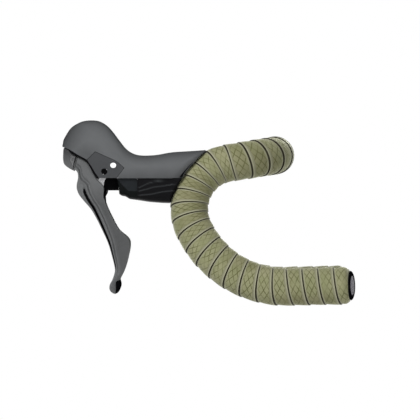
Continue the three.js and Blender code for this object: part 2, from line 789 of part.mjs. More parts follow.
// Pieces measured from the brake pivot.
function leverPieces() {
  const axleHalf = cheekOutside - axleShortfall;
  return [
    ['hood', geometryOf(hood()), 'rubber'],
    ['cheek_outer', geometryOf(cheek(0, wide)), 'cheek'],
    ['cheek_inner', geometryOf(cheek(-wide, 0)), 'cheek'],
    ['lever_body', geometryOf(leverBody()), 'black'],
    ['clamp_band', geometryOf(clampBand()), 'steel'],
    ['clamp_bolt', clampBolt(), 'steel'],
    ['pivot_axle', rod(axleRadius, -axleHalf, axleHalf, zero, acrossAxis), 'black'],
    ['carrier', geometryOf(carrier()), 'steel'],
    ['shift_axle', rod(shiftAxleRadius, axleRadius + 2 * gap, frontLugTo, zero, shiftAxis, 12), 'steel'],
    ['brake_blade', geometryOf(brakeBlade()), 'blade'],
    ['shift_paddle', geometryOf(shiftPaddle()), 'black'],
    ['front_cap', frontCap(), 'black'],
    ['shift_block', shiftBlock(), 'black'],
    ['bracket_cover', bracketCover(), 'alloy'],
    ['lower_boot', geometryOf(lowerBoot()), 'black'],
    ['cheek_pin', pinOnCheek(), 'steel'],
  ];
}

// Pieces measured along the bar.
function barPieces() {
  return [
    ['bar_tape', barTape(), 'tape'],
    ['finish_tape', finishTape(), 'black'],
    ...endPlug(),
  ];
}

const object = new THREE.Group();
object.add(handlebar());
const bar = barPieces();
const lever = leverPieces();
for (const [side, outboard] of [['left', -1], ['right', 1]]) {
  const half = new THREE.Group();
  half.scale.y = outboard;
  const leverGroup = new THREE.Group();
  leverGroup.position.copy(pivot);
  bar.forEach(([name, geometry, colour]) => half.add(mesh(`${side}_${name}`, geometry, colour)));
  lever.forEach(([name, geometry, colour]) => leverGroup.add(mesh(`${side}_${name}`, geometry, colour)));
  half.add(leverGroup);
  object.add(half);
}

export default object;
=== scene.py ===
"""A drop handlebar wound with patterned grip tape, with a brake and shift lever in a hood on each side.

Forward is -X, the left side is -Y and up is +Z. The origin is the middle of the stem clamp.
Pieces are worked out for the right side, where outboard is +Y, and mirrored for the left.
"""

import math
from types import SimpleNamespace

import bmesh
import bpy
import numpy as np
from bpy.props import FloatProperty, FloatVectorProperty, PointerProperty
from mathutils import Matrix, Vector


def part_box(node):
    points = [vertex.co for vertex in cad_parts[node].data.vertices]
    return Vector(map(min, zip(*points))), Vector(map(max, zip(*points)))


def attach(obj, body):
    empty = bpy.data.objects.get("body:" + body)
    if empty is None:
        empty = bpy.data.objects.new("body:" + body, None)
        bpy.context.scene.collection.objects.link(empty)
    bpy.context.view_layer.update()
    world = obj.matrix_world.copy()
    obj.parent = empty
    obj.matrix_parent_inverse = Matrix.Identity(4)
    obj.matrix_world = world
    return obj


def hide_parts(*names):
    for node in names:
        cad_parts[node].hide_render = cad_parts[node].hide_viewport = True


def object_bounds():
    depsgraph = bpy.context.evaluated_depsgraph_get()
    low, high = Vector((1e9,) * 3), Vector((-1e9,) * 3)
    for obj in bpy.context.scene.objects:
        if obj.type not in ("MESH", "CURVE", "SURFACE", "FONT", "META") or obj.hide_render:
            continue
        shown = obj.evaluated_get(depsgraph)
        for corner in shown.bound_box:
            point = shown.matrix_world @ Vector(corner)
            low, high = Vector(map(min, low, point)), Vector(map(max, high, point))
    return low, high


bl_info = {
    "name": "Taped drop handlebar",
    "version": (1, 0, 0),
    "blender": (4, 5, 0),
    "location": "3D View > Sidebar > Handlebar",
    "description": "Builds a taped drop handlebar with its levers, piece by piece",
    "category": "Object",
}

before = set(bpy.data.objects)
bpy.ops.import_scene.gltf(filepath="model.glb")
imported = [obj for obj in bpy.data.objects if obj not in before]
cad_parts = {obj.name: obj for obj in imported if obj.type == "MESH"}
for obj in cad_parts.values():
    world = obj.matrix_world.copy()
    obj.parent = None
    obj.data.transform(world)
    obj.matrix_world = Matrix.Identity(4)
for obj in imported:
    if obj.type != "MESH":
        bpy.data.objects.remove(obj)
CAD_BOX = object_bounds()

MM = 0.001
FULL_TURN = 2 * math.pi
GAP = 0.3 * MM  # room between pieces that lie on each other
PATH_STEP = 0.5 * MM
PIVOT = np.mean([tuple(corner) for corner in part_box("right_pivot_axle")], axis=0)
WHOLE = ("", 1)  # what a piece's name starts with, and which way is outboard
SIDES = (("left_", -1), ("right_", 1))


# Sizes and colours that a user would change


def a_length(name, description, metres):
    return FloatProperty(name=name, description=description, default=metres, unit="LENGTH")


def an_angle(name, description, degrees):
    return FloatProperty(name=name, description=description, default=math.radians(degrees), subtype="ANGLE")


def a_colour(name, description, shade):
    return FloatVectorProperty(name=name, description=description, default=shade, min=0, max=1, subtype="COLOR")


class BarSizes(bpy.types.PropertyGroup):
    grip_width: a_length("Width", "Between the two grips", 0.400)
    radius: a_length("Bar radius", "Outside the grips", 0.0119)
    wall: a_length("Bar wall", "Thickness of the tube", 0.0022)
    stem_radius: a_length("Stem zone radius", "Where the stem holds the bar", 0.0159)
    stem_half: a_length("Stem zone half", "Half the length of the stem zone", 0.035)
    taper_half: a_length("Taper half", "Distance from the middle to the end of the taper", 0.075)
    corner_radius: a_length("Corner radius", "Bend from the top to the ramp", 0.040)
    ramp_length: a_length("Ramp", "Straight length of the ramp", 0.0039)
    ramp_slope: an_angle("Ramp slope", "Rise of the ramp towards the front", 9.3)
    front_radius: a_length("Front bend", "Radius of the front bend", 0.042)
    front_end: an_angle("Front bend end", "Heading where the front bend ends", 295)
    drop_radius: a_length("Drop bend", "Radius of the lower bend", 0.0908)
    drop_end: an_angle("Drop bend end", "Heading of the grip", 361.3)
    grip_length: a_length("Grip", "Straight length of the grip", 0.0556)
    ramp_lean: an_angle("Ramp lean", "Lean of the ramp to the outside", 2)
    front_lean: an_angle("Front lean", "Lean where the front bend ends", 12)
    end_lean: an_angle("Grip lean", "Lean of the grip to the outside", 7)


class TapeSizes(bpy.types.PropertyGroup):
    high: a_length("High", "Radius over a fresh edge", 0.0170)
    low: a_length("Low", "Radius before the next edge", 0.0161)
    end_radius: a_length("End radius", "Radius at the plug", 0.0142)
    end_taper: a_length("End taper", "Length drawn in at the plug", 0.007)
    top_half: a_length("Bare top", "Half the length of the top without tape", 0.066)
    finish_radius: a_length("Finish radius", "Radius where the winding ends", 0.0130)
    finish_taper: a_length("Finish taper", "Length drawn in where the winding ends", 0.018)
    pitch: a_length("Pitch", "Distance between wraps", 0.0142)
    tight_pitch: a_length("Tight pitch", "Distance between wraps in the front bend", 0.0106)
    tight_spread: a_length("Tight spread", "How far the tight pitch reaches", 0.052)


class PlugSizes(bpy.types.PropertyGroup):
    rim: a_length("Rim radius", "Outside of the end plug", 0.0132)
    height: a_length("Height", "Height of the plug's head", 0.0027)
    lean: an_angle("Lean", "How far the plug's face turns outboard", 6)
    disc: a_length("Disc radius", "Grey disc in the plug", 0.0087)


class Colours(bpy.types.PropertyGroup):
    tape: a_colour("Tape", "Olive grip tape", (0.240, 0.244, 0.134))
    rubber: a_colour("Rubber", "Grey rubber of the hood", (0.112, 0.116, 0.120))
    cheek: a_colour("Cheek", "Side cheek of the hood", (0.060, 0.062, 0.065))
    blade: a_colour("Blade", "Grey paint of the brake blade", (0.094, 0.097, 0.099))
    black: a_colour("Black", "Moulded black plastic", (0.006, 0.006, 0.007))
    steel: a_colour("Steel", "Bright steel", (0.46, 0.46, 0.47))
    disc: a_colour("Disc", "Lilac grey disc in the end plug", (0.105, 0.100, 0.118))


# Mesh helpers


def quads(grid):
    """The four neighbours of every cell of a grid, in order round the cell."""
    return np.stack([grid[:-1, :-1], grid[:-1, 1:], grid[1:, 1:], grid[1:, :-1]], axis=-1).reshape(-1, 4)


def numbered(rows):
    """The number of each point of a grid."""
    return np.arange(rows.shape[0] * rows.shape[1]).reshape(rows.shape[:2])


def closed_columns(index):
    return np.concatenate([index, index[:, :1]], axis=1)


def turns(count):
    return np.linspace(0, FULL_TURN, count, endpoint=False)


def loft(rows, capped=True):
    """Faces over closed rings of points, rows by columns by 3, with a cap on the first and the last ring."""
    index = numbered(rows)
    faces = quads(closed_columns(index)).tolist()
    if capped:
        faces += [index[0, ::-1].tolist(), index[-1].tolist()]
    return rows.reshape(-1, 3), faces


def add_object(name, points, faces):
    mesh = bpy.data.meshes.new(name)
    mesh.from_pydata(points.tolist(), [], faces)
    made = bpy.data.objects.new(name, mesh)
    bpy.context.scene.collection.objects.link(made)
    return made


def turn_outwards(mesh):
    """Merges doubles, takes out faces without an area and turns the others outwards."""
    shape = bmesh.new()
    shape.from_mesh(mesh)
    bmesh.ops.remove_doubles(shape, verts=shape.verts, dist=2e-6)
    bmesh.ops.dissolve_degenerate(shape, edges=shape.edges, dist=1e-6)
    bmesh.ops.recalc_face_normals(shape, faces=shape.faces)
    shape.to_mesh(mesh)
    shape.free()


def values_of(rows, name, kind):
    values = np.empty(len(rows), kind)
    rows.foreach_get(name, values)
    return values


def crest_of_faces(mesh):
    """The mean crest of each face's corners."""
    corner = values_of(mesh.loops, "vertex_index", np.int32)
    crest = values_of(mesh.attributes["Crest"].data, "value", np.float32)[corner]
    start = values_of(mesh.polygons, "loop_start", np.int32)
    return np.add.reduceat(crest, start) / np.diff(np.append(start, len(corner)))


def add_piece(side, name, shape, material, node=None, body="bar",
              smooth=40, uv=None, crest=None, bare=None):
    """Adds a piece on one side from points in metres and faces, and joins it to a body.

    A crest is a value at each point, and a bare material goes on the faces where its mean is over a half.
    """
    word, out = side
    points, faces = shape
    piece = add_object(word + name, points * (1, out, 1), faces)
    mesh = piece.data
    if uv is not None:
        mesh.uv_layers.new(name="Strip").data.foreach_set("uv", uv.ravel())
    if crest is not None:
        values = crest.ravel().astype(np.float32)
        mesh.attributes.new("Crest", "FLOAT", "POINT").data.foreach_set("value", values)
    turn_outwards(mesh)
    mesh.polygons.foreach_set("use_smooth", np.ones(len(mesh.polygons), bool))
    mesh.set_sharp_from_angle(angle=math.radians(smooth))
    mesh.materials.append(material)
    if bare:
        mesh.materials.append(bare)
        mesh.polygons.foreach_set("material_index", (crest_of_faces(mesh) > 0.5).astype(np.int32))
    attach(piece, body)
    if node:
        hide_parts(word + node)
    return piece


def at_pivot(shape):
    """Millimetres from the brake pivot, outboard positive, become metres in the frame of the whole part."""
    points, faces = shape
    return points * MM + PIVOT, faces


def smooth_line(points, count, closed=False):
    """Points on a curve through the given ones.

    Each span is a cubic whose slope at both ends is that of the line between the neighbours.
    The parameter grows with the square root of the distance between points.
    """
    p = np.asarray(points, float)
    if closed:
        p = np.vstack([p, p[:1]])
    knots = np.concatenate([[0], np.cumsum(np.sqrt(np.linalg.norm(np.diff(p, axis=0), axis=1)))])
    slope = np.gradient(p, knots, axis=0)
    if closed:
        slope[0] = slope[-1] = (p[1] - p[-2]) / (knots[1] + knots[-1] - knots[-2])
    t = np.linspace(0, knots[-1], count, endpoint=not closed)
    span = np.clip(np.searchsorted(knots, t, side="right") - 1, 0, len(knots) - 2)
    width = np.diff(knots)[span]
    x, width = ((t - knots[span]) / width)[:, None], width[:, None]
    return (
        (1 + 2 * x) * (1 - x) ** 2 * p[span] + x * (1 - x) ** 2 * width * slope[span]
        + x**2 * (3 - 2 * x) * p[span + 1] + x**2 * (x - 1) * width * slope[span + 1]
    )


def turned_inwards(along, outline):
    """Directions along a closed side outline, turned a quarter to its inside."""
    x, z = outline.T
    way = np.sign(np.sum(x * np.roll(z, -1) - z * np.roll(x, -1)))
    return np.stack([-along[:, 1], along[:, 0]], axis=1) * way


def unit(rows):
    return rows / np.linalg.norm(rows, axis=1, keepdims=True)


def inward_normals(outline):
    """Unit normals of a closed side outline, to the inside."""
    return unit(turned_inwards(np.roll(outline, -1, axis=0) - np.roll(outline, 1, axis=0), outline))


def corner_normals(outline):
    """At each corner, the way inwards that moves both of its sides by one unit."""
    into, out = unit(outline - np.roll(outline, 1, axis=0)), unit(np.roll(outline, -1, axis=0) - outline)
    return turned_inwards(into + out, outline) / (1 + np.sum(into * out, axis=1, keepdims=True))


def at_y(outline, y):
    """A side outline as points at one value of y."""
    return np.insert(outline, 1, y, axis=1)


def rounded_plate(outline, inner, outer, rim, dome=0.0):
    """A plate with a side outline between two values of y.

    Round each rim the outline draws in by rim (1 - sin b) while y moves by rim (1 - cos b), as b goes from
    0 to 90 degrees. Over each face y rises by dome (1 - f f), where f is the share of the way from the middle
    to the rim.
    """
    normals, middle = inward_normals(outline), outline.mean(axis=0)
    b = np.linspace(0, math.pi / 2, 7)
    bevel = list(zip(rim * (1 - np.sin(b)), rim * (1 - np.cos(b))))

    def ring(draw, share, y):
        return at_y(middle + (outline + normals * draw - middle) * share, y)

    shares = [0.02, 0.15, 0.3, 0.45, 0.6, 0.75, 0.9] if dome else []
    rows = [ring(rim, f, inner - dome * (1 - f * f)) for f in shares]
    rows += [ring(inset, 1, inner + rise) for inset, rise in bevel]
    rows += [ring(inset, 1, outer - rise) for inset, rise in bevel[::-1]]
    rows += [ring(rim, f, outer + dome * (1 - f * f)) for f in shares[::-1]]
    return loft(np.array(rows))


def turned(profile, origin, axis, across, segments=72):
    """A profile of radius and height, turned about an axis through origin."""
    profile, axis, across = np.asarray(profile, float), np.asarray(axis, float), np.asarray(across, float)
    angle = turns(segments)[:, None]
    round_axis = np.cos(angle) * across + np.sin(angle) * np.cross(axis, across)
    return loft(origin + profile[:, 1, None, None] * axis + profile[:, 0, None, None] * round_axis)


# Bar and tape, measured along the bar from its end


def centreline(bar):
    """The bar's centreline on the right side, from its end to the middle of the top.

    Each stretch has a heading in the side view and a lean to the outside, and both change evenly.
    The direction is (cos lean cos heading, sin lean, cos lean sin heading), and the place is its running sum.
    The outboard direction is carried along with as little turning as possible.
    """
    ramp, square = math.pi + bar.ramp_slope, math.pi / 2

    def bend(radius, start, end, lean, end_lean):
        return radius * (end - start) / math.cos((lean + end_lean) / 2), (start, end), (lean, end_lean)

    stretches = [
        (bar.grip_width / 2 - bar.corner_radius, (ramp, ramp), (square, square)),
        (bar.corner_radius * (square - bar.ramp_lean), (ramp, ramp), (square, bar.ramp_lean)),
        (bar.ramp_length, (ramp, ramp), (bar.ramp_lean, bar.ramp_lean)),
        bend(bar.front_radius, ramp, bar.front_end, bar.ramp_lean, bar.front_lean),
        bend(bar.drop_radius, bar.front_end, bar.drop_end, bar.front_lean, bar.end_lean),
        (bar.grip_length, (bar.drop_end, bar.drop_end), (bar.end_lean, bar.end_lean)),
    ]
    heading, lean, step = [], [], []
    for length, headings, leans in stretches:
        share = (np.arange(math.ceil(length / PATH_STEP)) + 0.5) / math.ceil(length / PATH_STEP)
        heading.append(headings[0] + (headings[1] - headings[0]) * share)
        lean.append(leans[0] + (leans[1] - leans[0]) * share)
        step.append(np.full(len(share), length / len(share)))
    heading, lean, step = (np.concatenate(part) for part in (heading, lean, step))
    onward = np.stack([np.cos(lean) * np.cos(heading), np.sin(lean), np.cos(lean) * np.sin(heading)], axis=1)
    place = np.vstack([np.zeros(3), np.cumsum(onward * step[:, None], axis=0)])[::-1]
    along = np.concatenate([[0], np.cumsum(step[::-1])])
    tangent = np.gradient(place, along, axis=0)
    tangent /= np.linalg.norm(tangent, axis=1, keepdims=True)
    outboard, carried = np.empty_like(tangent), np.array([0.0, 1.0, 0.0])
    for i, direction in enumerate(tangent):
        carried = carried - direction * (direction @ carried)
        carried /= np.linalg.norm(carried)
        outboard[i] = carried
    front = stretches[3][0]
    clamp = along[-1] - sum(part[0] for part in stretches[:3]) - front * CLAMP_SHARE
    return SimpleNamespace(along=along, place=place, tangent=tangent, outboard=outboard,
                           inward=np.cross(outboard, tangent), length=along[-1], front=front, clamp=clamp)


CLAMP_HEADING, RAMP_HEADING, BEND_END = 235, 189.3, 295  # degrees
CLAMP_SHARE = (CLAMP_HEADING - RAMP_HEADING) / (BEND_END - RAMP_HEADING)  # of the front bend


def around(line, along, angle, radius):
    """Points round the bar: place + radius (cos angle inward + sin angle outboard)."""
    along, angle, radius = (part[..., None] for part in np.broadcast_arrays(along, angle, radius))

    def carried(rows):
        return np.concatenate([np.interp(along, line.along, column) for column in rows.T], axis=-1)

    across = np.cos(angle) * carried(line.inward) + np.sin(angle) * carried(line.outboard)
    return carried(line.place) + radius * across


def bar_radius(line, bar, along):
    """The bar's radius, which eases from the grips' to the stem zone's as 3 t t - 2 t t t."""
    t = np.clip((bar.taper_half - (line.length - along)) / (bar.taper_half - bar.stem_half), 0, 1)
    return bar.radius + (bar.stem_radius - bar.radius) * t * t * (3 - 2 * t)


def tape_limit(line, tape, along):
    """The most that the tape's radius may be: it draws in roundly to the plug and evenly at its other end."""
    most, top = tape.high + 0.1 * MM, line.length - tape.top_half
    near = np.clip((along - GAP) / tape.end_taper, 0, 1)
    at_plug = tape.end_radius + (most - tape.end_radius) * (1 - (1 - near) ** 2.2)
    at_top = tape.finish_radius + (tape.high - tape.finish_radius) * (top - along) / tape.finish_taper
    return np.minimum(np.minimum(at_plug, at_top), most)


def wrap_starts(line, tape):
    """Where each wrap starts along the bar. The pitch is least round the front bend, as a bell curve."""
    starts = [GAP]
    while starts[-1] < line.length:
        from_bend = (starts[-1] - line.clamp + line.front / 4) / tape.tight_spread
        starts.append(starts[-1] + tape.pitch - (tape.pitch - tape.tight_pitch) * math.exp(-from_bend**2))
    return np.array(starts)


# Height of the strip's surface over its width, from its fresh edge to the next wrap
STRIP = np.array([
    (0, 0), (0.008, 0.42), (0.022, 0.74), (0.042, 0.93), (0.066, 1.0), (0.095, 0.97), (0.13, 0.90),
    (0.17, 0.86), (0.22, 0.85), (0.3, 0.84), (0.4, 0.78), (0.5, 0.70), (0.6, 0.60), (0.7, 0.49),
    (0.8, 0.36), (0.88, 0.24), (0.94, 0.14), (0.975, 0.07), (1, 0),
])


def wound_tape(line, bar, tape, columns=72):
    """The strip wound round the bar as a screw surface, closed by its inside along the bar.

    The point of wrap n at the share v across the strip and the angle a of a turn lies at start(n + v - a).
    Its radius is low + (high - low) strip(v), within the limit at both ends, and it swells a little with
    the distance along the strip. The map holds the distance along the strip and v.
    """
    starts = wrap_starts(line, tape)
    wraps, edges = len(starts) + 1, len(STRIP)
    share, height = np.tile(STRIP, (wraps, 1)).T[..., None]
    wrap = np.repeat(np.arange(wraps), edges)[:, None]
    turn = np.linspace(0, 1, columns + 1)[None, :]
    along = np.interp(wrap + share - turn, np.arange(len(starts)), starts)
    along = np.clip(along, GAP, line.length - tape.top_half)
    wound = wrap - turn
    swell = 0.09 * MM * np.sin(2.9 * wound) + 0.06 * MM * np.sin(11.3 * wound + 1)
    radius = tape.low + (tape.high - tape.low + swell) * height
    radius = np.minimum(radius, tape_limit(line, tape, along))
    outer = around(line, along, FULL_TURN * turn, radius)[:, :-1]
    index = numbered(outer)
    turn_before = np.maximum(np.arange(len(outer)) - edges, 0)

    ends = np.linspace(line.length - tape.top_half, GAP, 90)[:, None]
    inner = around(line, ends, FULL_TURN * turn[:, :-1], bar_radius(line, bar, ends) + GAP)
    inner_index = closed_columns(np.vstack([index[-1:], numbered(inner) + index.size, index[:1]]))
    faces = np.vstack([quads(np.concatenate([index, index[turn_before, :1]], axis=1)), quads(inner_index)])
    along_strip = (turn - wrap) * FULL_TURN * tape.high / MM
    strip = np.stack([quads(part) for part in np.broadcast_arrays(along_strip, share)], axis=-1)
    uv = np.vstack([strip, np.full((len(faces) - len(strip), 4, 2), 0.5)])
    return np.vstack([outer.reshape(-1, 3), inner.reshape(-1, 3)]), faces.tolist(), uv


def finishing_band(line, bar, tape):
    """A band over the end of the winding and the bar beside it, as a tube closed on itself.

    Its outer radius climbs 0.22 mm along each turn of a screw of 5.2 mm and drops back, as wound tape does.
    """
    top, turn = line.length - tape.top_half, turns(72)[None, :]
    along = np.linspace(top - 9 * MM, top + 12 * MM, 60)[:, None]
    wound = np.where(along < top, tape_limit(line, tape, along), 0)
    under = np.maximum(wound, bar_radius(line, bar, along)) + GAP
    climb = 0.22 * MM * ((along / (5.2 * MM) + turn / FULL_TURN) % 1) - 0.1 * MM
    outer = around(line, along, turn, under + 0.8 * MM + climb)
    inner = around(line, along[::-1], turn, under[::-1])
    return loft(np.concatenate([outer, inner, outer[:1]]), capped=False)


# Lever pieces: side outlines in millimetres from the brake pivot, forwards negative

HOOD_LOWER_FRONT = [(-37.3, 22), (-31.5, 19.8), (-23.4, 14.8), (-15.3, 10.3), (-11.7, 4.9), (-7.2, -2.7)]
HOOD_BOTTOM = -5.9
HOOD_REAR = [(70.2, HOOD_BOTTOM), (72.9, -0.9), (76.5, 3.6), (81, 8.5), (90.9, 18.9)]
HOOD_SECTIONS = [  # place, top, half width and lowest point of the whole form
    (-37.3, 24, 4.6, 20), (-36.6, 28, 7.6, 10), (-34, 33, 10.2, 0), (-30, 38.8, 12.4, -9),
    (-25, 42.4, 14.1, -17), (-18.9, 45, 15.3, -23), (-11.7, 45.8, 16, -26), (-4.5, 45, 16.2, -26),
    (2.7, 40.9, 16.3, -26), (8.1, 35.1, 16.3, -26), (13.5, 27.9, 16.3, -25), (18.9, 21.1, 16.3, -22),
    (24, 17, 16.4, -19), (31, 14.6, 16.7, -17), (45, 14.6, 17.2, -15.5), (60.3, 17.1, 17.6, -15.5),
    (76.5, 18.2, 17.3, -15.5), (93, 19.3, 16.8, -15.5),
]
HOOD_POWER = 2.6
TUCK, TUCK_LENGTH = 0.3, 11  # share by which the hood narrows towards its rear edge, and over what length
CHEEK = [
    (-15.3, 10.3), (-11.7, 4.9), (-7.2, -2.7), (-4.5, HOOD_BOTTOM), (10.8, HOOD_BOTTOM), (17.6, 3.1),
    (12.6, 7.6), (9, 9.9), (-8.1, 17.5),
]
CHEEK_OUTSIDE = 16.2
CHEEK_PIN = (8.1, 5.4)
PIN_HALVES = (2.7, 2.4)
AXLE_RADIUS = 2.6
HOOD_FORM = smooth_line(HOOD_SECTIONS, 900)


def in_hood(x):
    """Top, half width and lowest point of the hood's whole form at the places x."""
    return (np.interp(x, HOOD_FORM[:, 0], HOOD_FORM[:, k]) for k in (1, 2, 3))


def squarer(value, power):
    """sign(v) |v| ** (2 / power): an ellipse made with it is the squarer, the more the power is over 2."""
    return np.sign(value) * np.abs(value) ** (2 / power)


def hood_surface(stations=190, columns=96):
    """The hood's skin from its lower edge over the top to the other lower edge.

    Each section is y = half |cos a| ** (2 / power), z = middle + height |sin a| ** (2 / power), and a starts
    where the section meets the lower edge. Near the rear edge y draws in, to lie against the bar.
    """
    lower = np.array(HOOD_LOWER_FRONT + [(-4.5, HOOD_BOTTOM)] + HOOD_REAR)
    closer = np.linspace(0, 1, stations) ** 1.15  # stations lie closer at the nose
    x = np.interp(closer, np.linspace(0, 1, len(HOOD_FORM)), HOOD_FORM[:, 0])
    front, nose_end, rear_end = HOOD_SECTIONS[0][0], -36, HOOD_REAR[-1][0]
    between = x[(x > nose_end) & (x < rear_end - 0.1)]
    x = np.unique(np.concatenate([np.linspace(front, nose_end, 12), between, [rear_end]]))
    top, half, low = in_hood(x)
    edge = np.minimum(np.interp(x, lower[:, 0], lower[:, 1]), top - 0.02)
    middle, height = (top + low) / 2, (top - low) / 2
    lift = np.clip((edge - middle) / height, -1, 1)
    start = np.arcsin(np.sign(lift) * np.abs(lift) ** (HOOD_POWER / 2))
    a = start[:, None] + (math.pi - 2 * start[:, None]) * np.linspace(0, 1, columns)
    y = half[:, None] * squarer(np.cos(a), HOOD_POWER)
    z = middle[:, None] + height[:, None] * squarer(np.sin(a), HOOD_POWER)
    rear_z, rear_x = np.array(HOOD_REAR).T[::-1]
    near_rear = np.clip(1 - (np.interp(z, rear_z, rear_x) - x[:, None]) / TUCK_LENGTH, 0, 1)
    rows = np.stack([np.broadcast_to(x[:, None], y.shape), y * (1 - TUCK * near_rear**2.4), z], axis=-1)
    nose = rows[:1] * (1, 0, 1) + (-0.25, 0, 0)
    return np.concatenate([nose, rows])


def walled(rows, wall):
    """An open sheet and its copy moved inwards by the wall, joined round their edges.

    The copy moves against the normal, which is the cross product of the steps along both directions.
    """
    normal = np.cross(np.gradient(rows, axis=1), np.gradient(rows, axis=0))
    normal /= np.maximum(np.linalg.norm(normal, axis=-1, keepdims=True), 1e-9)
    index = numbered(rows)
    rim = [np.stack([edge, edge + index.size]) for edge in (index[0], index[-1], index[:, 0], index[:, -1])]
    faces = np.vstack([quads(part) for part in (index, index + index.size, *rim)])
    return np.concatenate([rows, rows - normal * wall]).reshape(-1, 3), faces.tolist()


def hood_liner(stations=60):
    """A black lip inside the hood's lower front edge, on its outer side, which closes the joint over the blade.

    It follows the lower edge from 1.5 mm below it to 1.5 mm above, and lies 2.2 mm within the hood's section.
    """
    lower = smooth_line(HOOD_LOWER_FRONT + [(-4.6, -5.8)], 400)
    x = np.linspace(-30.5, -5.0, stations)
    top, half, low = (part[:, None] for part in in_hood(x))
    edge = np.interp(x, lower[:, 0], lower[:, 1])
    z = edge[:, None] + np.sqrt(1 + np.gradient(edge, x) ** 2)[:, None] * np.linspace(-1.5, 1.5, 8)
    lift = np.clip(np.abs((z - (top + low) / 2) / ((top - low) / 2)), 0, 0.98)
    y = (half - 2.2) * (1 - lift**HOOD_POWER) ** (1 / HOOD_POWER)
    return np.stack([np.broadcast_to(x[:, None], y.shape), y, z], axis=-1)


def cut(piece, out, outline, reach, grow=0.0, keep=False):
    """Cuts a piece with a prism over a side outline in millimetres, or keeps what lies within it."""
    side = np.array(outline, float)
    side = side - corner_normals(side) * grow
    points, faces = at_pivot(loft(np.array([at_y(side, y) for y in reach])))
    cutter = add_object("Cutter", points * (1, out, 1), faces)
    turn_outwards(cutter.data)
    modifier = piece.modifiers.new("Cut", "BOOLEAN")
    modifier.object, modifier.solver = cutter, "EXACT"
    modifier.operation = "INTERSECT" if keep else "DIFFERENCE"
    bpy.context.view_layer.update()
    shaped = bpy.data.meshes.new_from_object(piece.evaluated_get(bpy.context.evaluated_depsgraph_get()))
    piece.modifiers.clear()
    used = (piece.data, cutter.data)
    piece.data, shaped.name = shaped, piece.name
    bpy.data.objects.remove(cutter)
    for mesh in used:
        bpy.data.meshes.remove(mesh)
    shaped.set_sharp_from_angle(angle=math.radians(32))


BLADE_FRONT = [
    (-26.6, 2), (-24.3, -0.5), (-23.5, -5), (-24.7, -12), (-24.5, -16), (-22.5, -21), (-18.9, -25.7),
    (-11.7, -34.2), (-6.7, -42.8), (-1.8, -52.7), (3.6, -64.8), (7.2, -77), (9.3, -86), (9.5, -89.6),
    (7.2, -97.2), (5, -101.5), (4.6, -105), (5.7, -107.6), (7.6, -109.2), (9.4, -109.9),
]
BLADE_REAR = [
    (-23.4, 13.2), (-15.5, 9), (-11.9, 3.6), (-6.7, -6.6), (-0.4, -14), (-0.4, -22.5), (1.8, -29.3),
    (4.5, -35.6), (8.1, -42.8), (13.5, -52.2), (21.6, -59.4), (23.6, -63.5), (21.6, -77.9), (18, -89.6),
    (15.3, -95), (14.2, -97.7), (15, -102), (14.3, -105.8), (12.3, -108.7), (9.9, -109.9),
]
# Distances behind the blade's front edge by height: the slot, the ridge beside it and the hollow behind that
BLADE_LINES = np.array([  # height, slot, slot depth, ridge, ridge height, hollow, hollow depth, slot half width
    (-98, 0.9, 0, 2.0, 0.2, 3.0, 0, 0.4), (-92, 0.9, 0, 2.0, 0.5, 3.6, 0.5, 0.4),
    (-86.5, 1.0, 0.8, 2.0, 0.9, 3.8, 0.8, 0.4), (-74.8, 1.1, 2.4, 2.4, 1.1, 4.6, 1.0, 0.5),
    (-61.3, 1.4, 3, 3.5, 1.3, 5.9, 1.0, 0.7), (-50.5, 1.7, 3, 4.4, 1.4, 6.8, 1.0, 0.85),
    (-37.9, 2.3, 1.7, 5.1, 1.5, 7.5, 1.0, 1.0), (-28.6, 3.6, 1.6, 6.5, 1.5, 9.0, 1.1, 1.15),
    (-20.6, 5.6, 1.6, 8.4, 1.4, 11.0, 1.2, 1.15), (-16.3, 6.6, 0.3, 9.2, 1.3, 11.7, 1.3, 0.85),
    (-14, 6.3, 0, 7.6, 1.1, 10.0, 1.5, 0.6), (-10.9, 4.5, 0, 4.0, 0.9, 7.1, 1.7, 0.5),
    (-5.8, 2.5, 0, 1.4, 0.5, 3.8, 1.6, 0.5), (2.8, 2.0, 0, 1.6, 0.4, 4.5, 2.0, 0.5),
    (13, 2.0, 0, 2.0, 0.3, 4.4, 0.9, 0.5),
])
BLADE_INNER, BLADE_OUTER, WING_INNER = -7.0, 11.8, 8.7
FRONT_PLATE = 3.2
TIP_START, BALL_START, BALL_RADIUS = -92, -103, 7  # heights where the tip narrows and where its ball rounds off


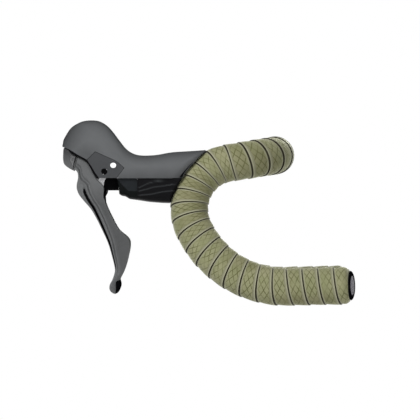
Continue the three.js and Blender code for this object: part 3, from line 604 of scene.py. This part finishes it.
def blade_surface(stations=260):
    """The brake blade as closed sections between its front and rear edges, and how black each point is.

    Across a section the outer side is a plane with three bell curves: the slot goes in, the ridge stands out
    and the hollow goes in. The plate along the front is bowed, and behind it the blade is hollow. Painted shade
    makes the slot black and the wing behind the ridge darker, and the rear of the tip is black.
    """
    front, rear = smooth_line(BLADE_FRONT, stations), smooth_line(BLADE_REAR, stations)
    length = np.linalg.norm(rear - front, axis=1)[:, None]
    ahead = (rear - front) / length
    height = front[:, 1:]
    slot, depth, ridge, crest, hollow, dip, wide = (
        np.interp(height, BLADE_LINES[:, 0], BLADE_LINES[:, k]) for k in range(1, 8))

    def edge(distance, radius, reach):
        """How far the side draws in beside an edge: a quarter of an ellipse."""
        return radius * np.sqrt(np.clip(1 - (1 - np.clip(distance / reach, 0, 1)) ** 2, 0, 1)) - radius

    def bell(centre, width, power=2):
        return np.exp(-((outer - centre) / width) ** power)

    across_slot = np.array([-1.5, -1.2, -0.95, -0.6, 0, 0.6, 0.95, 1.2, 1.5])
    slot_end, hollow_end = slot + 1.5 * wide, 1.3 * hollow
    outer = np.concatenate([
        np.linspace(0, 1, 9)[:-1] * np.maximum(slot - 1.5 * wide, 0.3),
        slot + wide * across_slot,
        slot_end + (hollow_end - slot_end) * np.linspace(0.07, 1, 16),
        hollow_end + (length - hollow_end) * np.linspace(0.08, 1, 14),
    ], axis=1)
    outer = np.clip(outer, 0, length - 0.02)
    y_outer = (
        BLADE_OUTER - 1.1 + edge(outer, 1.9, 1.6) + edge(length - outer, 1.2, 1.2)
        - depth * bell(slot, wide, 4) + crest * bell(ridge, 1.1) - dip * bell(hollow, 1.7)
    )
    # Solid near the tip and round the pivot, and a plate between them
    solid = np.clip(np.maximum((-88 - height) / 5, (height + 5) / 3), 0, 1)
    wall = np.minimum(FRONT_PLATE + (length - 0.4 - FRONT_PLATE) * solid, length - 0.3)
    back = length - (length - wall) * np.linspace(0.02, 1, 8)
    down = np.linspace(0.04, 1, 7)
    inner = wall - 0.9 * np.clip((down - 0.85) / 0.15, 0, 1)
    forward = np.linspace(0, 1, 9)[1:]
    across = np.concatenate([outer, back, inner, 0.8 * (2 * forward - 1) ** 2 + 0 * length], axis=1)
    y = np.concatenate([
        y_outer, np.full_like(back, WING_INNER), WING_INNER + (BLADE_INNER - WING_INNER) * down + 0 * wall,
        BLADE_INNER + (BLADE_OUTER - 3.0 - BLADE_INNER) * forward + 0 * length,
    ], axis=1)
    # The tip narrows to a ball, and the top is a little thinner than the rest
    tip, top = np.clip((TIP_START - height) / 16, 0, 1), np.clip((height - 0.5) / 2, 0, 1)
    ball = np.sqrt(np.clip(1 - (np.clip(BALL_START - height, 0, None) / BALL_RADIUS) ** 2, 0.02, 1))
    middle = (BLADE_INNER + BLADE_OUTER) / 2
    y = middle + (y - middle) * np.sqrt(1 - 0.62 * tip**2) * ball * (1 - 0.05 * top)

    # How black each point is: painted shade in the slot and on the wing, and black behind the tip's ball
    slot_shade = np.zeros_like(y)
    slot_shade[:, :outer.shape[1]] = bell(slot, wide, 4) * np.clip(depth / 1.5, 0, 1)
    at_tip = np.clip((across / length - 0.42) / 0.25, 0, 1) * np.clip((-98 - height) / 4, 0, 1)
    wing = np.clip((across - hollow + 1.5) / 4, 0, 1) * np.clip((-16 - height) / 18, 0, 1)
    black = np.max([slot_shade, 0.95 * at_tip, 0.43 * wing], axis=0)
    flat = front[:, None] + ahead[:, None] * across[..., None]
    return np.stack([flat[..., 0], y, flat[..., 1]], axis=-1), black


PADDLE = [
    (-15, -3.5), (-14, -12), (-13, -25), (-6, -36), (2, -52), (8, -66), (14, -62), (12, -52), (6, -40),
    (1, -28), (0.5, -22), (2.3, -18.5), (2.2, -12.5), (-6, -9.5), (-11, -3.5),
]
PADDLE_INNER, PADDLE_OUTER = -8.6, -6.0
FRONT_CAP = [
    (-36.4, 20.6), (-36.9, 15.5), (-36.9, 10.3), (-36, 6.7), (-33.3, 4), (-29.7, 1.8), (-28.2, 1.2),
    (-26.1, 8.6), (-24.6, 14.2), (-28, 19.5), (-31, 21.6), (-34.2, 21.4),
]
CAP_HALF = 9
COVER_BOTTOM = [
    (11.5, -7), (13.1, -16.7), (13.5, -20.3), (15.3, -21.6), (18.9, -22.3), (22.5, -24.6), (29.3, -25.5),
]
COVER_RIM = [(10.8, -6.6), (17.3, -14.2), (18.2, -18.5)]
COVER_HALF = 13
BOOT_BOTTOM = [
    (29.6, -25.6), (40.5, -27.3), (52, -28.2), (59.2, -28.4), (63, -19.8), (68.5, -9), (69.6, -6.5),
]
BOOT_FOLDS = [
    [(31.7, -14.5), (39, -10.9), (44.2, -9.5), (63.4, -6.8)],
    [(31.7, -17.6), (39.3, -15.7), (44.2, -14.2), (53.7, -13), (60.9, -11.8)],
    [(31.7, -21.4), (42.2, -20.5), (51.4, -18.5), (60, -17.5)],
]
BOOT_HALF = 14.6
UNDER_TOP = -6.2
UNDER_POWER = 3.4


def trough(bottom, half, relief, stations=110, columns=72):
    """A cover that hangs under the hood: y = half cos a ** (2 / power), z = top - depth sin a ** (2 / power).

    The relief adds to y on both sides, as a function of the place in the side view.
    """
    samples = 600
    spread = np.linspace(0, samples - 1, stations)
    line = np.stack([np.interp(spread, np.arange(samples), column)
                     for column in straight_line(bottom, samples).T], axis=1)
    a = np.linspace(0, math.pi, columns)
    y = half * squarer(np.cos(a), UNDER_POWER) + 0 * line[:, :1]
    z = UNDER_TOP + (line[:, 1:] - UNDER_TOP) * squarer(np.sin(a), UNDER_POWER)
    x = line[:, :1] + 0 * z
    y = y + np.sign(y) * relief(x, z) * np.clip(np.abs(y) / half, 0, 1) ** 2
    return np.stack([x, y, z], axis=-1)


def straight_line(points, count):
    """Points at even steps along straight spans."""
    p = np.asarray(points, float)
    along = np.concatenate([[0], np.cumsum(np.linalg.norm(np.diff(p, axis=0), axis=1))])
    at = np.linspace(0, along[-1], count)
    return np.stack([np.interp(at, along, column) for column in p.T], axis=1)


def beside(line, x, z):
    """Distance above a line that runs from front to rear, in the side view."""
    line_x, line_z = np.array(line, float).T
    return z - np.interp(x, line_x, line_z)


# Materials


class Nodes:
    """Adds nodes to a tree and joins them."""

    def __init__(self, tree):
        self.tree = tree

    def put(self, node, inputs):
        """Joins a node's input to each socket given, and sets the others."""
        for key, value in inputs.items():
            if isinstance(value, bpy.types.NodeSocket):
                self.tree.links.new(value, node.inputs[key])
            else:
                node.inputs[key].default_value = value
        return node

    def add(self, kind, inputs=None, **settings):
        node = self.tree.nodes.new("ShaderNode" + kind)
        for key, value in settings.items():
            setattr(node, key, value)
        return self.put(node, inputs or {})

    def math(self, operation, *values, clamp=False):
        inputs = dict(enumerate(values))
        return self.add("Math", inputs, operation=operation, use_clamp=clamp).outputs[0]

    def times(self, first, second):
        return self.math("MULTIPLY", first, second)

    def less(self, first, second):
        return self.math("SUBTRACT", first, second)

    def most(self, share, *others):
        for other in others:
            share = self.math("MAXIMUM", share, other)
        return share

    def mix(self, share, first, second):
        inputs = {0: share, 6: first, 7: second}
        for key, value in inputs.items():
            if isinstance(value, tuple):
                inputs[key] = (*value, 1)
        return self.add("Mix", inputs, data_type="RGBA").outputs[2]

    def split(self, vector):
        return self.add("SeparateXYZ", {"Vector": vector}).outputs

    def noise(self, place, scale, detail=2.0, rough=0.5):
        inputs = {"Vector": place, "Scale": scale, "Detail": detail, "Roughness": rough}
        return self.add("TexNoise", inputs).outputs["Fac"]

    def ramp(self, value, low, high):
        """A share from 0 at low to 1 at high."""
        inputs = {"Value": value, "From Min": low, "From Max": high}
        return self.add("MapRange", inputs, clamp=True).outputs[0]

    def band(self, value, low, high, soft):
        """1 between two values, falling to 0 within soft outside them."""
        return self.times(self.ramp(value, low - soft, low), self.ramp(value, high + soft, high))


class Finish(Nodes):
    """A new material and its shader."""

    def __init__(self, name, colour, roughness, metallic=0.0, specular=0.5):
        self.material = bpy.data.materials.new(name)
        self.material.use_nodes = True
        self.material.diffuse_color = (*colour, 1)
        super().__init__(self.material.node_tree)
        self.shader = self.put(self.tree.nodes["Principled BSDF"], {
            "Metallic": metallic, "Specular IOR Level": specular, "Roughness": roughness,
            "Base Color": (*colour, 1)})

    def place(self):
        return self.add("TexCoord").outputs["Object"]

    def clouds(self, place, cloud, fine):
        """A coarse and a fine noise, and their sum."""
        coarse, grain = self.noise(place, cloud, 3.0, 0.6), self.noise(place, fine, 2.0, 0.6)
        return coarse, grain, self.math("ADD", coarse, grain)

    def mottled(self, cloud, colour, darker, lighter, low=0.3, high=0.7):
        """A colour that goes from a darker to a lighter tone as a noise goes from low to high."""
        return self.mix(self.ramp(cloud, low, high), toned(colour, darker), toned(colour, lighter))

    def done(self, colour, height, depth, uneven, spread, least):
        """Joins the colour, a bump of some depth and a roughness of uneven times spread plus the least."""
        gloss = self.math("MULTIPLY_ADD", uneven, spread, least)
        bump = self.add("Bump", {"Height": height, "Distance": depth, "Strength": 1.0}).outputs[0]
        self.put(self.shader, {"Base Color": colour, "Roughness": gloss, "Normal": bump})
        return self.material


def toned(colour, factor):
    """A colour times a factor, or times one for each of red, green and blue."""
    return tuple(np.multiply(tuple(colour), factor).tolist())


def moulded(name, colour, roughness, specular=0.5, grain=900.0, depth=0.00004, mottle=0.08, crest=None):
    """Moulded plastic, rubber or plain metal: mottled colour, uneven gloss and a fine grain.

    A crest colour shows where the mesh attribute of that name is high: painted shade, as the black in the
    blade's slot, or a painted highlight, as the paler low part of the cap and the crests of the boot's folds.
    """
    n = Finish(name, colour, roughness, specular=specular)
    cloud, fine, both = n.clouds(n.place(), 55.0, grain)
    base = n.mottled(cloud, colour, 1 - mottle, 1 + mottle)
    if crest:
        base = n.mix(n.add("Attribute", attribute_name="Crest").outputs["Fac"], base, crest)
    return n.done(base, fine, depth, both, 0.16, roughness - 0.16)


def rubber_material(colour, shade):
    """Rubber of the hoods, with painted shade: darker over the ridge, where it faces up, at the front, low down
    and by the cheek.

    Each gives a share of the painted shade, and the greatest holds. Over the ridge it grows as the distance
    from the hood's middle plane falls, and beside the cheek as the distance from its upper front corner falls.
    """
    n = Finish("Hood_rubber", colour, 0.62, specular=0.0)
    place = n.place()
    x, y, z = n.split(place)
    upward = n.split(n.add("NewGeometry").outputs["Normal"])[2]
    cloud, fine, both = n.clouds(place, 55.0, 1300.0)
    off_middle = n.math("ABSOLUTE", n.less(n.math("ABSOLUTE", y), float(PIVOT[1])))
    slope = 0.55  # how far a front line leans back over its rise
    front_line = PIVOT[0] - PIVOT[2] * slope
    front = n.ramp(n.less(x, n.times(z, slope)), front_line - 22 * MM, front_line - 52 * MM)
    corner = n.math("POWER", n.math("ADD", n.math("POWER", n.less(x, PIVOT[0] - 17 * MM), 2.0),
                                    n.math("POWER", n.less(z, PIVOT[2] + 11 * MM), 2.0)), 0.5)
    # painted shade: over the ridge, on faces turned up, at the front, low down and by the cheek's corner
    shares = (
        (n.ramp(off_middle, 14 * MM, 3 * MM), 0.8),
        (n.ramp(upward, 0.25, 0.95), 0.55),
        (n.math("POWER", front, 2.0), 0.9),
        (n.ramp(z, PIVOT[2] + 4 * MM, PIVOT[2] - 6 * MM), 0.40),
        (n.ramp(corner, 19 * MM, 6 * MM), 0.36),
    )
    share = n.most(*(n.times(value, most) for value, most in shares))
    base = n.mix(share, n.mottled(cloud, colour, 0.95, 1.05), shade)
    return n.done(base, fine, 0.00006, both, 0.16, 0.46)


def tape_material(colour):
    """Grip tape with a pressed lattice of diamonds, plain margins, a painted highlight on the bevel and a dark
    cut edge, partly the tape's black foam and partly painted shade in the step between wraps.

    The map runs along the strip in millimetres and across it from 0 to 1. The lattice is drawn where
    the sum or the difference of the two, each over its period, is near a whole number.
    """
    diamond, rows = 9.4, 2.75  # length of a diamond in millimetres, and how many lie across the strip
    n = Finish("Grip_tape", colour, 0.72, specular=0.15)
    place = n.place()
    along, across, _ = n.split(n.add("UVMap", uv_map="Strip").outputs[0])
    waver = n.math("MULTIPLY_ADD", n.noise(place, 230.0, 2.0), 0.3, -0.15)
    u, v = n.math("ADD", n.math("DIVIDE", along, diamond), waver), n.times(across, rows)

    def near_whole(value):
        return n.math("ABSOLUTE", n.less(n.math("FRACT", value), 0.5))

    either = n.most(near_whole(n.math("ADD", u, v)), near_whole(n.less(u, v)))
    field = n.band(across, 0.24, 0.86, 0.06)
    worn = n.math("MULTIPLY_ADD", n.ramp(n.noise(place, 110.0, 1.0), 0.34, 0.56), 0.7, 0.3)
    line = n.times(n.times(n.ramp(either, 0.40, 0.465), field), worn)
    browner = n.times(field, n.ramp(n.noise(place, 26.0, 1.0), 0.48, 0.68))
    fine = n.noise(place, 1400.0, 2.0, 0.7)
    patches = n.noise(place, 75.0, 3.0, 0.6)
    base = n.mottled(patches, colour, (0.86, 0.88, 0.80), (1.12, 1.08, 1.14), 0.32, 0.68)
    for share, most, tone in (
            (browner, 0.55, (0.130, 0.120, 0.055)),
            (n.less(1.0, field), 0.6, (0.285, 0.280, 0.200)),  # the margins
            (fine, 0.25, (0.20, 0.20, 0.12)),
            (line, 0.85, (0.080, 0.082, 0.026)),
            (n.band(across, 0.155, 0.215, 0.05), 0.35, (0.13, 0.125, 0.08)),  # the shade beside the bevel
            # painted highlight on the bevel, where its rounded edge would catch the light
            (n.band(across, 0.082, 0.105, 0.02), 0.38, (0.42, 0.41, 0.31))):  # the bevel
        base = n.mix(n.times(share, most), base, tone)
    # the dark cut edge: partly the tape's black foam, partly painted shade in the step between wraps
    edge = n.most(n.ramp(across, 0.068, 0.052), n.ramp(across, 0.968, 0.982))
    n.put(n.shader, {"Sheen Weight": 0.9, "Sheen Roughness": 0.3, "Sheen Tint": (0.85, 0.86, 0.68, 1)})
    height = n.less(n.times(fine, 0.35), line)
    return n.done(n.mix(edge, base, (0.014, 0.012, 0.005)), height, 0.00016, fine, 0.2, 0.62)


def cover_material(upper, lower):
    """Moulded plastic that is darker below a level line and ahead of a slanting one."""
    n = Finish("Bracket_grey", upper, 0.42, specular=0.05)
    place = n.place()
    x, _, z = n.split(place)
    level, slant = PIVOT[2] - 18 * MM, PIVOT[0] + PIVOT[2] + 3.8 * MM
    lit = n.times(n.ramp(z, level, level + 0.8 * MM), n.ramp(n.math("ADD", x, z), slant, slant + 0.7 * MM))
    cloud, fine = n.noise(place, 70.0, 3.0), n.noise(place, 1100.0)
    base = n.mix(lit, lower, n.mottled(cloud, upper, 0.85, 1.15))
    return n.done(base, fine, 0.00003, cloud, 0.2, 0.32)


def brushed(n, place, steel):
    """The height of fine turned lines, and the colour of steel over them."""
    stretched = n.add("Mapping", {"Vector": place, "Scale": (2600, 160, 2600)}).outputs[0]
    lines = n.noise(stretched, 1.0, 3.0)
    return lines, n.mottled(lines, steel, 0.85, 1, 0.25, 0.75)


def brushed_metal(steel):
    """Metal with fine turned lines and uneven gloss."""
    n = Finish("Steel_brushed", steel, 0.4, metallic=1.0)
    place = n.place()
    lines, polished = brushed(n, place, steel)
    uneven = n.math("ADD", lines, n.noise(place, 90.0, 3.0))
    return n.done(polished, lines, 0.00002, uneven, 0.14, 0.26)


def coated_steel(coat, steel):
    """Bare steel at the back of a piece, and a black coat ahead of it that ends at a line across."""
    n = Finish("Carrier_coated", steel, 0.4, specular=0.2)
    place = n.place()
    bare = n.ramp(n.split(place)[0], PIVOT[0] - 10.5 * MM, PIVOT[0] - 10.0 * MM)
    lines, polished = brushed(n, place, steel)
    n.put(n.shader, {"Metallic": bare})
    return n.done(n.mix(bare, coat, polished), lines, 0.00002, lines, 0.2, 0.32)


# Operators


def add_aimed(data, place, aim):
    """A camera or a lamp at a place, turned to look at another."""
    made = bpy.data.objects.new(data.name, data)
    made.location = place
    made.rotation_euler = Vector(np.subtract(aim, place)).to_track_quat("-Z", "Y").to_euler()
    bpy.context.scene.collection.objects.link(made)
    return made


class AddCamera(bpy.types.Operator):
    """Adds the camera, far off and level, looking across the bar from its left side"""

    bl_idname = "handlebar.add_camera"
    bl_label = "Camera"

    def execute(self, context):
        data = bpy.data.cameras.new("Camera")
        data.lens, data.sensor_width = 1600.0, 36.0
        data.clip_start, data.clip_end = 1.0, 60.0
        context.scene.camera = add_aimed(data, (-0.110, -16.95, -0.0492), (-0.0583, 0.0, -0.0492))
        return {"FINISHED"}


class AddBar(bpy.types.Operator):
    """Adds the bare tube, both sides in one piece"""

    bl_idname = "handlebar.add_bar"
    bl_label = "Bar"

    def execute(self, context):
        bar = context.scene.bar_sizes
        line = centreline(bar)
        along = np.linspace(0, line.length, 190)[:, None]
        radius = bar_radius(line, bar, along)

        def both_sides(radii):
            right = around(line, along, turns(72)[None, :], radii)
            return np.concatenate([right, right[-2::-1] * (1, -1, 1)])

        outer, inner = both_sides(radius), both_sides(radius - bar.wall)
        tube = loft(np.concatenate([outer, inner[::-1], outer[:1]]), capped=False)
        finish = moulded("Bar_black", toned(context.scene.colours.black, 2.2), 0.42, specular=0.4, grain=1500)
        add_piece(WHOLE, "handlebar_tube", tube, finish, "handlebar")
        return {"FINISHED"}


class WindTape(bpy.types.Operator):
    """Winds the grip tape on both sides and ends it with a black finishing band"""

    bl_idname = "handlebar.wind_tape"
    bl_label = "Grip tape"

    def execute(self, context):
        scene = context.scene
        bar, tape = scene.bar_sizes, scene.tape_sizes
        line = centreline(bar)
        cloth = tape_material(tuple(scene.colours.tape))
        black = moulded("Finishing_band", toned(scene.colours.black, 1.4), 0.38, grain=700)
        *wound, strip = wound_tape(line, bar, tape)
        band = finishing_band(line, bar, tape)
        for side in SIDES:
            add_piece(side, "tape_wound", wound, cloth, "bar_tape", smooth=55, uv=strip)
            add_piece(side, "finish_band", band, black, "finish_tape", smooth=50)
        return {"FINISHED"}


class AddPlugs(bpy.types.Operator):
    """Adds the end plugs, each with a grey disc in its face"""

    bl_idname = "handlebar.add_plugs"
    bl_label = "End plugs"

    def execute(self, context):
        scene = context.scene
        bar, plug = scene.bar_sizes, scene.plug_sizes
        line = centreline(bar)
        centre, axis, across = line.place[0], -line.tangent[0], line.outboard[0]
        axis_point, depth = 1e-6, 18 * MM
        spigot, top, lip = bar.radius - bar.wall - GAP, plug.height, plug.disc + GAP
        seat, hollow = top - 1 * MM, spigot - 2 * MM

        def leaning(profile):
            """A turned profile whose top sinks by tan(lean) times the way outboard, and its foot not at all."""
            points, faces = turned(profile, centre, axis, across)
            risen = np.clip((points - centre) @ axis / top, 0, 1)
            outwards = (points - centre) @ across
            return points - (math.tan(plug.lean) * outwards * risen)[:, None] * axis, faces

        head = smooth_line(np.array([
            (plug.rim - 0.5 * MM, GAP), (plug.rim, 0.9 * MM), (plug.rim - 0.2 * MM, 1.5 * MM),
            (plug.rim - 1.0 * MM, top - 0.6 * MM), (plug.rim - 2.4 * MM, top - 0.1 * MM),
            (lip + 0.7 * MM, top), (lip + 0.1 * MM, top - 0.3 * MM),
        ]) / MM, 30) * MM
        body = leaning([(axis_point, 1 * MM), (hollow, 1 * MM), (hollow, -depth), (spigot, -depth),
                        (spigot, GAP), *head, (lip, seat), (axis_point, seat)])
        floor = seat + GAP
        dome = [(plug.disc * s, floor + (0.35 + 0.35 * (1 - s * s)) * MM) for s in np.linspace(1, 0.001, 14)]
        disc = leaning([(axis_point, floor), (plug.disc, floor), (plug.disc, floor + 0.2 * MM), *dome])
        black = moulded("Plug_black", toned(scene.colours.black, 0.6), 0.4, specular=0.0, grain=1200)
        grey = moulded("Plug_disc", tuple(scene.colours.disc), 0.5, specular=0.08, grain=1600, depth=0.00003)
        for side in SIDES:
            add_piece(side, "plug_head", body, black, "end_plug")
            add_piece(side, "plug_centre", disc, grey, "plug_disc")
        return {"FINISHED"}


class AddHoods(bpy.types.Operator):
    """Adds the rubber hoods with their side cheeks, pins and axle ends"""

    bl_idname = "handlebar.add_hoods"
    bl_label = "Hoods"

    def execute(self, context):
        colours = context.scene.colours
        # the hood's rubber with painted shade, at 0.3 of its colour
        rubber = rubber_material(tuple(colours.rubber), toned(colours.rubber, 0.3))
        panel = moulded("Hood_cheek", tuple(colours.cheek), 0.55, specular=0.0, grain=1500, mottle=0.05)
        bright = moulded("Bright_pin", (0.93, 0.93, 0.93), 0.35, grain=1500, mottle=0.02)
        dark = moulded("Axle_black", toned(colours.black, 0.4), 0.5, specular=0.03, grain=1500)
        skin, lip = at_pivot(walled(hood_surface(), 2.0)), at_pivot(walled(hood_liner(), -0.8))
        circle = np.stack([np.cos(turns(48)), np.sin(turns(48))], axis=1)
        hole = AXLE_RADIUS * 1.12 * np.stack([np.cos(turns(40)), np.sin(turns(40))], axis=1)
        pin = at_pivot(rounded_plate(CHEEK_PIN + circle * PIN_HALVES, CHEEK_OUTSIDE - 0.4, CHEEK_OUTSIDE + 0.9,
                                     0.5, dome=0.2))
        end, socket, bevel = CHEEK_OUTSIDE - 1.2, (1.3, 1.4), 0.4
        half = [(0.001, end - socket[1]), (socket[0], end - socket[1]), (socket[0], end),
                (AXLE_RADIUS - bevel, end), (AXLE_RADIUS, end - bevel)]
        profile = [(radius, -height) for radius, height in half] + half[::-1]
        axle = at_pivot(turned(profile, np.zeros(3), (0, 1, 0), (1, 0, 0), segments=48))
        for side in SIDES:
            out = side[1]
            add_piece(side, "hood_lip", lip, dark)
            hood = add_piece(side, "hood_rubber", skin, rubber, "hood", smooth=50)
            cut(hood, out, CHEEK, (-40, 40), grow=0.35)
            for place, reach in (("outer", (0, 40)), ("inner", (-40, 0))):
                cheek = add_piece(side, "cheek_panel_" + place, skin, panel, "cheek_" + place,
                                  smooth=50)
                cut(cheek, out, CHEEK, reach, keep=True)
                cut(cheek, out, hole, (-40, 40))
            add_piece(side, "pin_cap", pin, bright, "cheek_pin")
            add_piece(side, "axle_turned", axle, dark, "pivot_axle")
        return {"FINISHED"}


class AddBlades(bpy.types.Operator):
    """Adds the brake blades and the shift paddles behind them"""

    bl_idname = "handlebar.add_blades"
    bl_label = "Blades and paddles"

    def execute(self, context):
        colours = context.scene.colours
        # the crest colour is black: painted shade in the slot and on the wing, and black behind the tip's ball
        paint = moulded("Blade_paint", tuple(colours.blade), 0.3, specular=0.4, grain=2200, depth=0.00001,
                        mottle=0.04, crest=(0.003, 0.003, 0.003))
        # black for the faces deep in the slot, as painted shade, and for those behind the tip's ball
        slot = moulded("Slot_shade_black", toned(colours.black, 0.4), 0.6, specular=0.0, grain=1400)
        black = moulded("Paddle_black", tuple(colours.black), 0.35, specular=0.1, grain=1400)
        rows, shade_and_dark_tip = blade_surface()
        blade = at_pivot(loft(rows))
        paddle = at_pivot(rounded_plate(smooth_line(PADDLE, 110, closed=True), PADDLE_INNER, PADDLE_OUTER, 1.0))
        for side in SIDES:
            add_piece(side, "blade_painted", blade, paint, "brake_blade", side[0] + "blade",
                      smooth=42, crest=shade_and_dark_tip, bare=slot)
            add_piece(side, "paddle_face", paddle, black, body=side[0] + "paddle")
        return {"FINISHED"}


class AddCovers(bpy.types.Operator):
    """Adds the front caps, bracket covers and ridged boots"""

    bl_idname = "handlebar.add_covers"
    bl_label = "Caps and covers"

    def execute(self, context):
        # the cap's crest colour is a painted highlight
        gloss = moulded("Cap_gloss", (0.012, 0.012, 0.013), 0.22, grain=2400, depth=0.00001,
                        crest=(0.078, 0.080, 0.082))
        grey = cover_material((0.014, 0.016, 0.018), (0.004, 0.005, 0.005))
        # the boot's crest colour is a painted highlight on its folds
        black = moulded("Boot_black", toned(context.scene.colours.black, 0.8), 0.3, specular=0.05, grain=1500,
                        depth=0.00002, crest=(0.028, 0.030, 0.032))
        cap_side = CAP_HALF - 0.6  # the dome takes up the rest
        cap = rounded_plate(smooth_line(FRONT_CAP, 90, closed=True), -cap_side, cap_side, 2.2, dome=0.9)
        # painted highlight: paler low down on the cap, where it would reflect the light
        lit = np.clip((19.0 - cap[0][:, 2]) / 14.0, 0, 1)  # the cap is paler low down

        def rim(x, z):
            """A ridge along the cover's rim, and a step down ahead of it."""
            rim_x, rim_z = smooth_line(COVER_RIM, 60)[::-1].T
            near = np.interp(z, rim_z, rim_x)
            return 0.45 * np.exp(-(((x - near) / 0.55) ** 2)) - 0.5 * (x < near)

        def crests(x, z):
            """A bell curve over each fold, from the boot's front to near its rear."""
            near = sum(np.exp(-((beside(line, x, z) / 0.55) ** 2)) for line in BOOT_FOLDS)
            return near * np.clip((x - 29.6) / 2.5, 0, 1) * np.clip((66 - x) / 5, 0, 1)

        def folds(x, z):
            """The crests, and a soft step up at each fold."""
            stepped = sum(0.35 / (1 + np.exp(-beside(line, x, z) / 0.5)) for line in BOOT_FOLDS)
            return 0.6 * crests(x, z) + stepped * np.clip((x - 29.6) / 2.5, 0, 1) - 0.5

        boot_rows = trough(BOOT_BOTTOM, BOOT_HALF, folds, stations=150, columns=110)
        # painted highlight along the crests of the boot's folds
        ridge_highlight = crests(boot_rows[..., 0], boot_rows[..., 2])
        cap, cover, boot = (at_pivot(shape) for shape in (
            cap, loft(trough(COVER_BOTTOM, COVER_HALF, rim)), loft(boot_rows)))
        for side in SIDES:
            add_piece(side, "cap_shell", cap, gloss, "front_cap", side[0] + "carrier",
                      smooth=45, crest=lit)
            add_piece(side, "cover_shell", cover, grey, "bracket_cover", smooth=45)
            add_piece(side, "boot_ridged", boot, black, "lower_boot", smooth=45, crest=ridge_highlight)
        return {"FINISHED"}


class DressFrame(bpy.types.Operator):
    """Gives the plain metal and plastic parts of the frame their finishes"""

    bl_idname = "handlebar.dress_frame"
    bl_label = "Frame finishes"

    def execute(self, context):
        black, steel = tuple(context.scene.colours.black), tuple(context.scene.colours.steel)
        finishes = (
            (moulded("Body_black", toned(black, 0.35), 0.5, specular=0.02, grain=1100),
             ("lever_body", "shift_block", "shift_paddle")),
            (brushed_metal(steel), ("clamp_band", "clamp_bolt", "shift_axle")),
            (coated_steel(black, steel), ("carrier",)),
        )
        for word, _ in SIDES:
            for finish, nodes in finishes:
                for node in nodes:
                    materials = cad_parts[word + node].data.materials
                    materials.clear()
                    materials.append(finish)
        return {"FINISHED"}


class SetStage(bpy.types.Operator):
    """Adds the floor, the lamps and the white surroundings"""

    bl_idname = "handlebar.set_stage"
    bl_label = "Stage"

    def execute(self, context):
        self.add_floor()
        self.add_lamps()
        self.add_world(context.scene)
        context.scene.view_settings.view_transform = "Standard"
        return {"FINISHED"}

    def add_floor(self):
        low, half = CAD_BOX[0][2] - 135 * MM, 2.0
        corners = np.array([(-half, -half, low), (half, -half, low), (half, half, low), (-half, half, low)])
        floor = add_object("Floor", corners, [(0, 1, 2, 3)])
        n = Finish("Floor_white", (0.9, 0.9, 0.9), 0.9, specular=0.1)
        path = n.add("LightPath").outputs
        seen = n.times(n.most(path["Is Camera Ray"], path["Is Glossy Ray"]), 0.9)
        white = n.add("Emission", {"Color": (1, 1, 1, 1), "Strength": 1.0})
        mixed = n.add("MixShader", {0: seen, 1: n.shader.outputs[0], 2: white.outputs[0]})
        n.put(n.tree.nodes["Material Output"], {"Surface": mixed.outputs[0]})
        floor.data.materials.append(n.material)

    def add_lamps(self):
        lamps = (  # name, place, size and power
            ("Key", (-0.80, -1.20, 0.90), 0.6, 20.0),
            ("Fill", (0.60, -1.50, -0.05), 0.8, 5.0),
            ("Top", (0.0, 0.0, 1.70), 1.5, 5.0),
            ("Back", (0.30, 1.70, 0.45), 1.2, 18.0),
        )
        for name, place, size, power in lamps:
            data = bpy.data.lights.new(name, "AREA")
            data.size, data.energy = size, power
            add_aimed(data, place, (-0.06, 0, -0.05))

    def add_world(self, scene):
        scene.world = bpy.data.worlds.new("Surroundings")
        scene.world.use_nodes = True
        n = Nodes(scene.world.node_tree)
        path = n.add("LightPath").outputs
        mirrored = n.most(path["Is Glossy Ray"], path["Is Transmission Ray"])
        seen = n.math("ADD", path["Is Camera Ray"], mirrored, clamp=True)
        strength = n.add("MapRange", {"Value": seen, "To Min": 0.25, "To Max": 1.0}).outputs[0]
        n.put(n.tree.nodes["Background"], {"Color": (1, 1, 1, 1), "Strength": strength})


GROUPS = {"bar_sizes": BarSizes, "tape_sizes": TapeSizes, "plug_sizes": PlugSizes, "colours": Colours}
OPERATORS = (AddCamera, AddBar, WindTape, AddPlugs, AddHoods, AddBlades, AddCovers, DressFrame, SetStage)


class HandlebarPanel(bpy.types.Panel):
    """Lists the pieces of the handlebar, each with its own button"""

    bl_idname = "VIEW3D_PT_handlebar"
    bl_label = "Handlebar"
    bl_space_type = "VIEW_3D"
    bl_region_type = "UI"
    bl_category = "Handlebar"

    def draw(self, context):
        for name, group in GROUPS.items():
            column = self.layout.column(align=True)
            for size in group.__annotations__:
                column.prop(getattr(context.scene, name), size)
        for operator in OPERATORS:
            self.layout.operator(operator.bl_idname)


CLASSES = (*GROUPS.values(), *OPERATORS, HandlebarPanel)


def register():
    for kind in CLASSES:
        bpy.utils.register_class(kind)
    for name, group in GROUPS.items():
        setattr(bpy.types.Scene, name, PointerProperty(type=group))


def unregister():
    for name in GROUPS:
        delattr(bpy.types.Scene, name)
    for kind in reversed(CLASSES):
        bpy.utils.unregister_class(kind)


def main():
    register()
    bpy.ops.handlebar.add_camera()
    bpy.ops.handlebar.add_bar()
    bpy.ops.handlebar.wind_tape()
    bpy.ops.handlebar.add_plugs()
    bpy.ops.handlebar.add_hoods()
    bpy.ops.handlebar.add_blades()
    bpy.ops.handlebar.add_covers()
    bpy.ops.handlebar.dress_frame()
    bpy.ops.handlebar.set_stage()


if __name__ == "__main__":
    main()
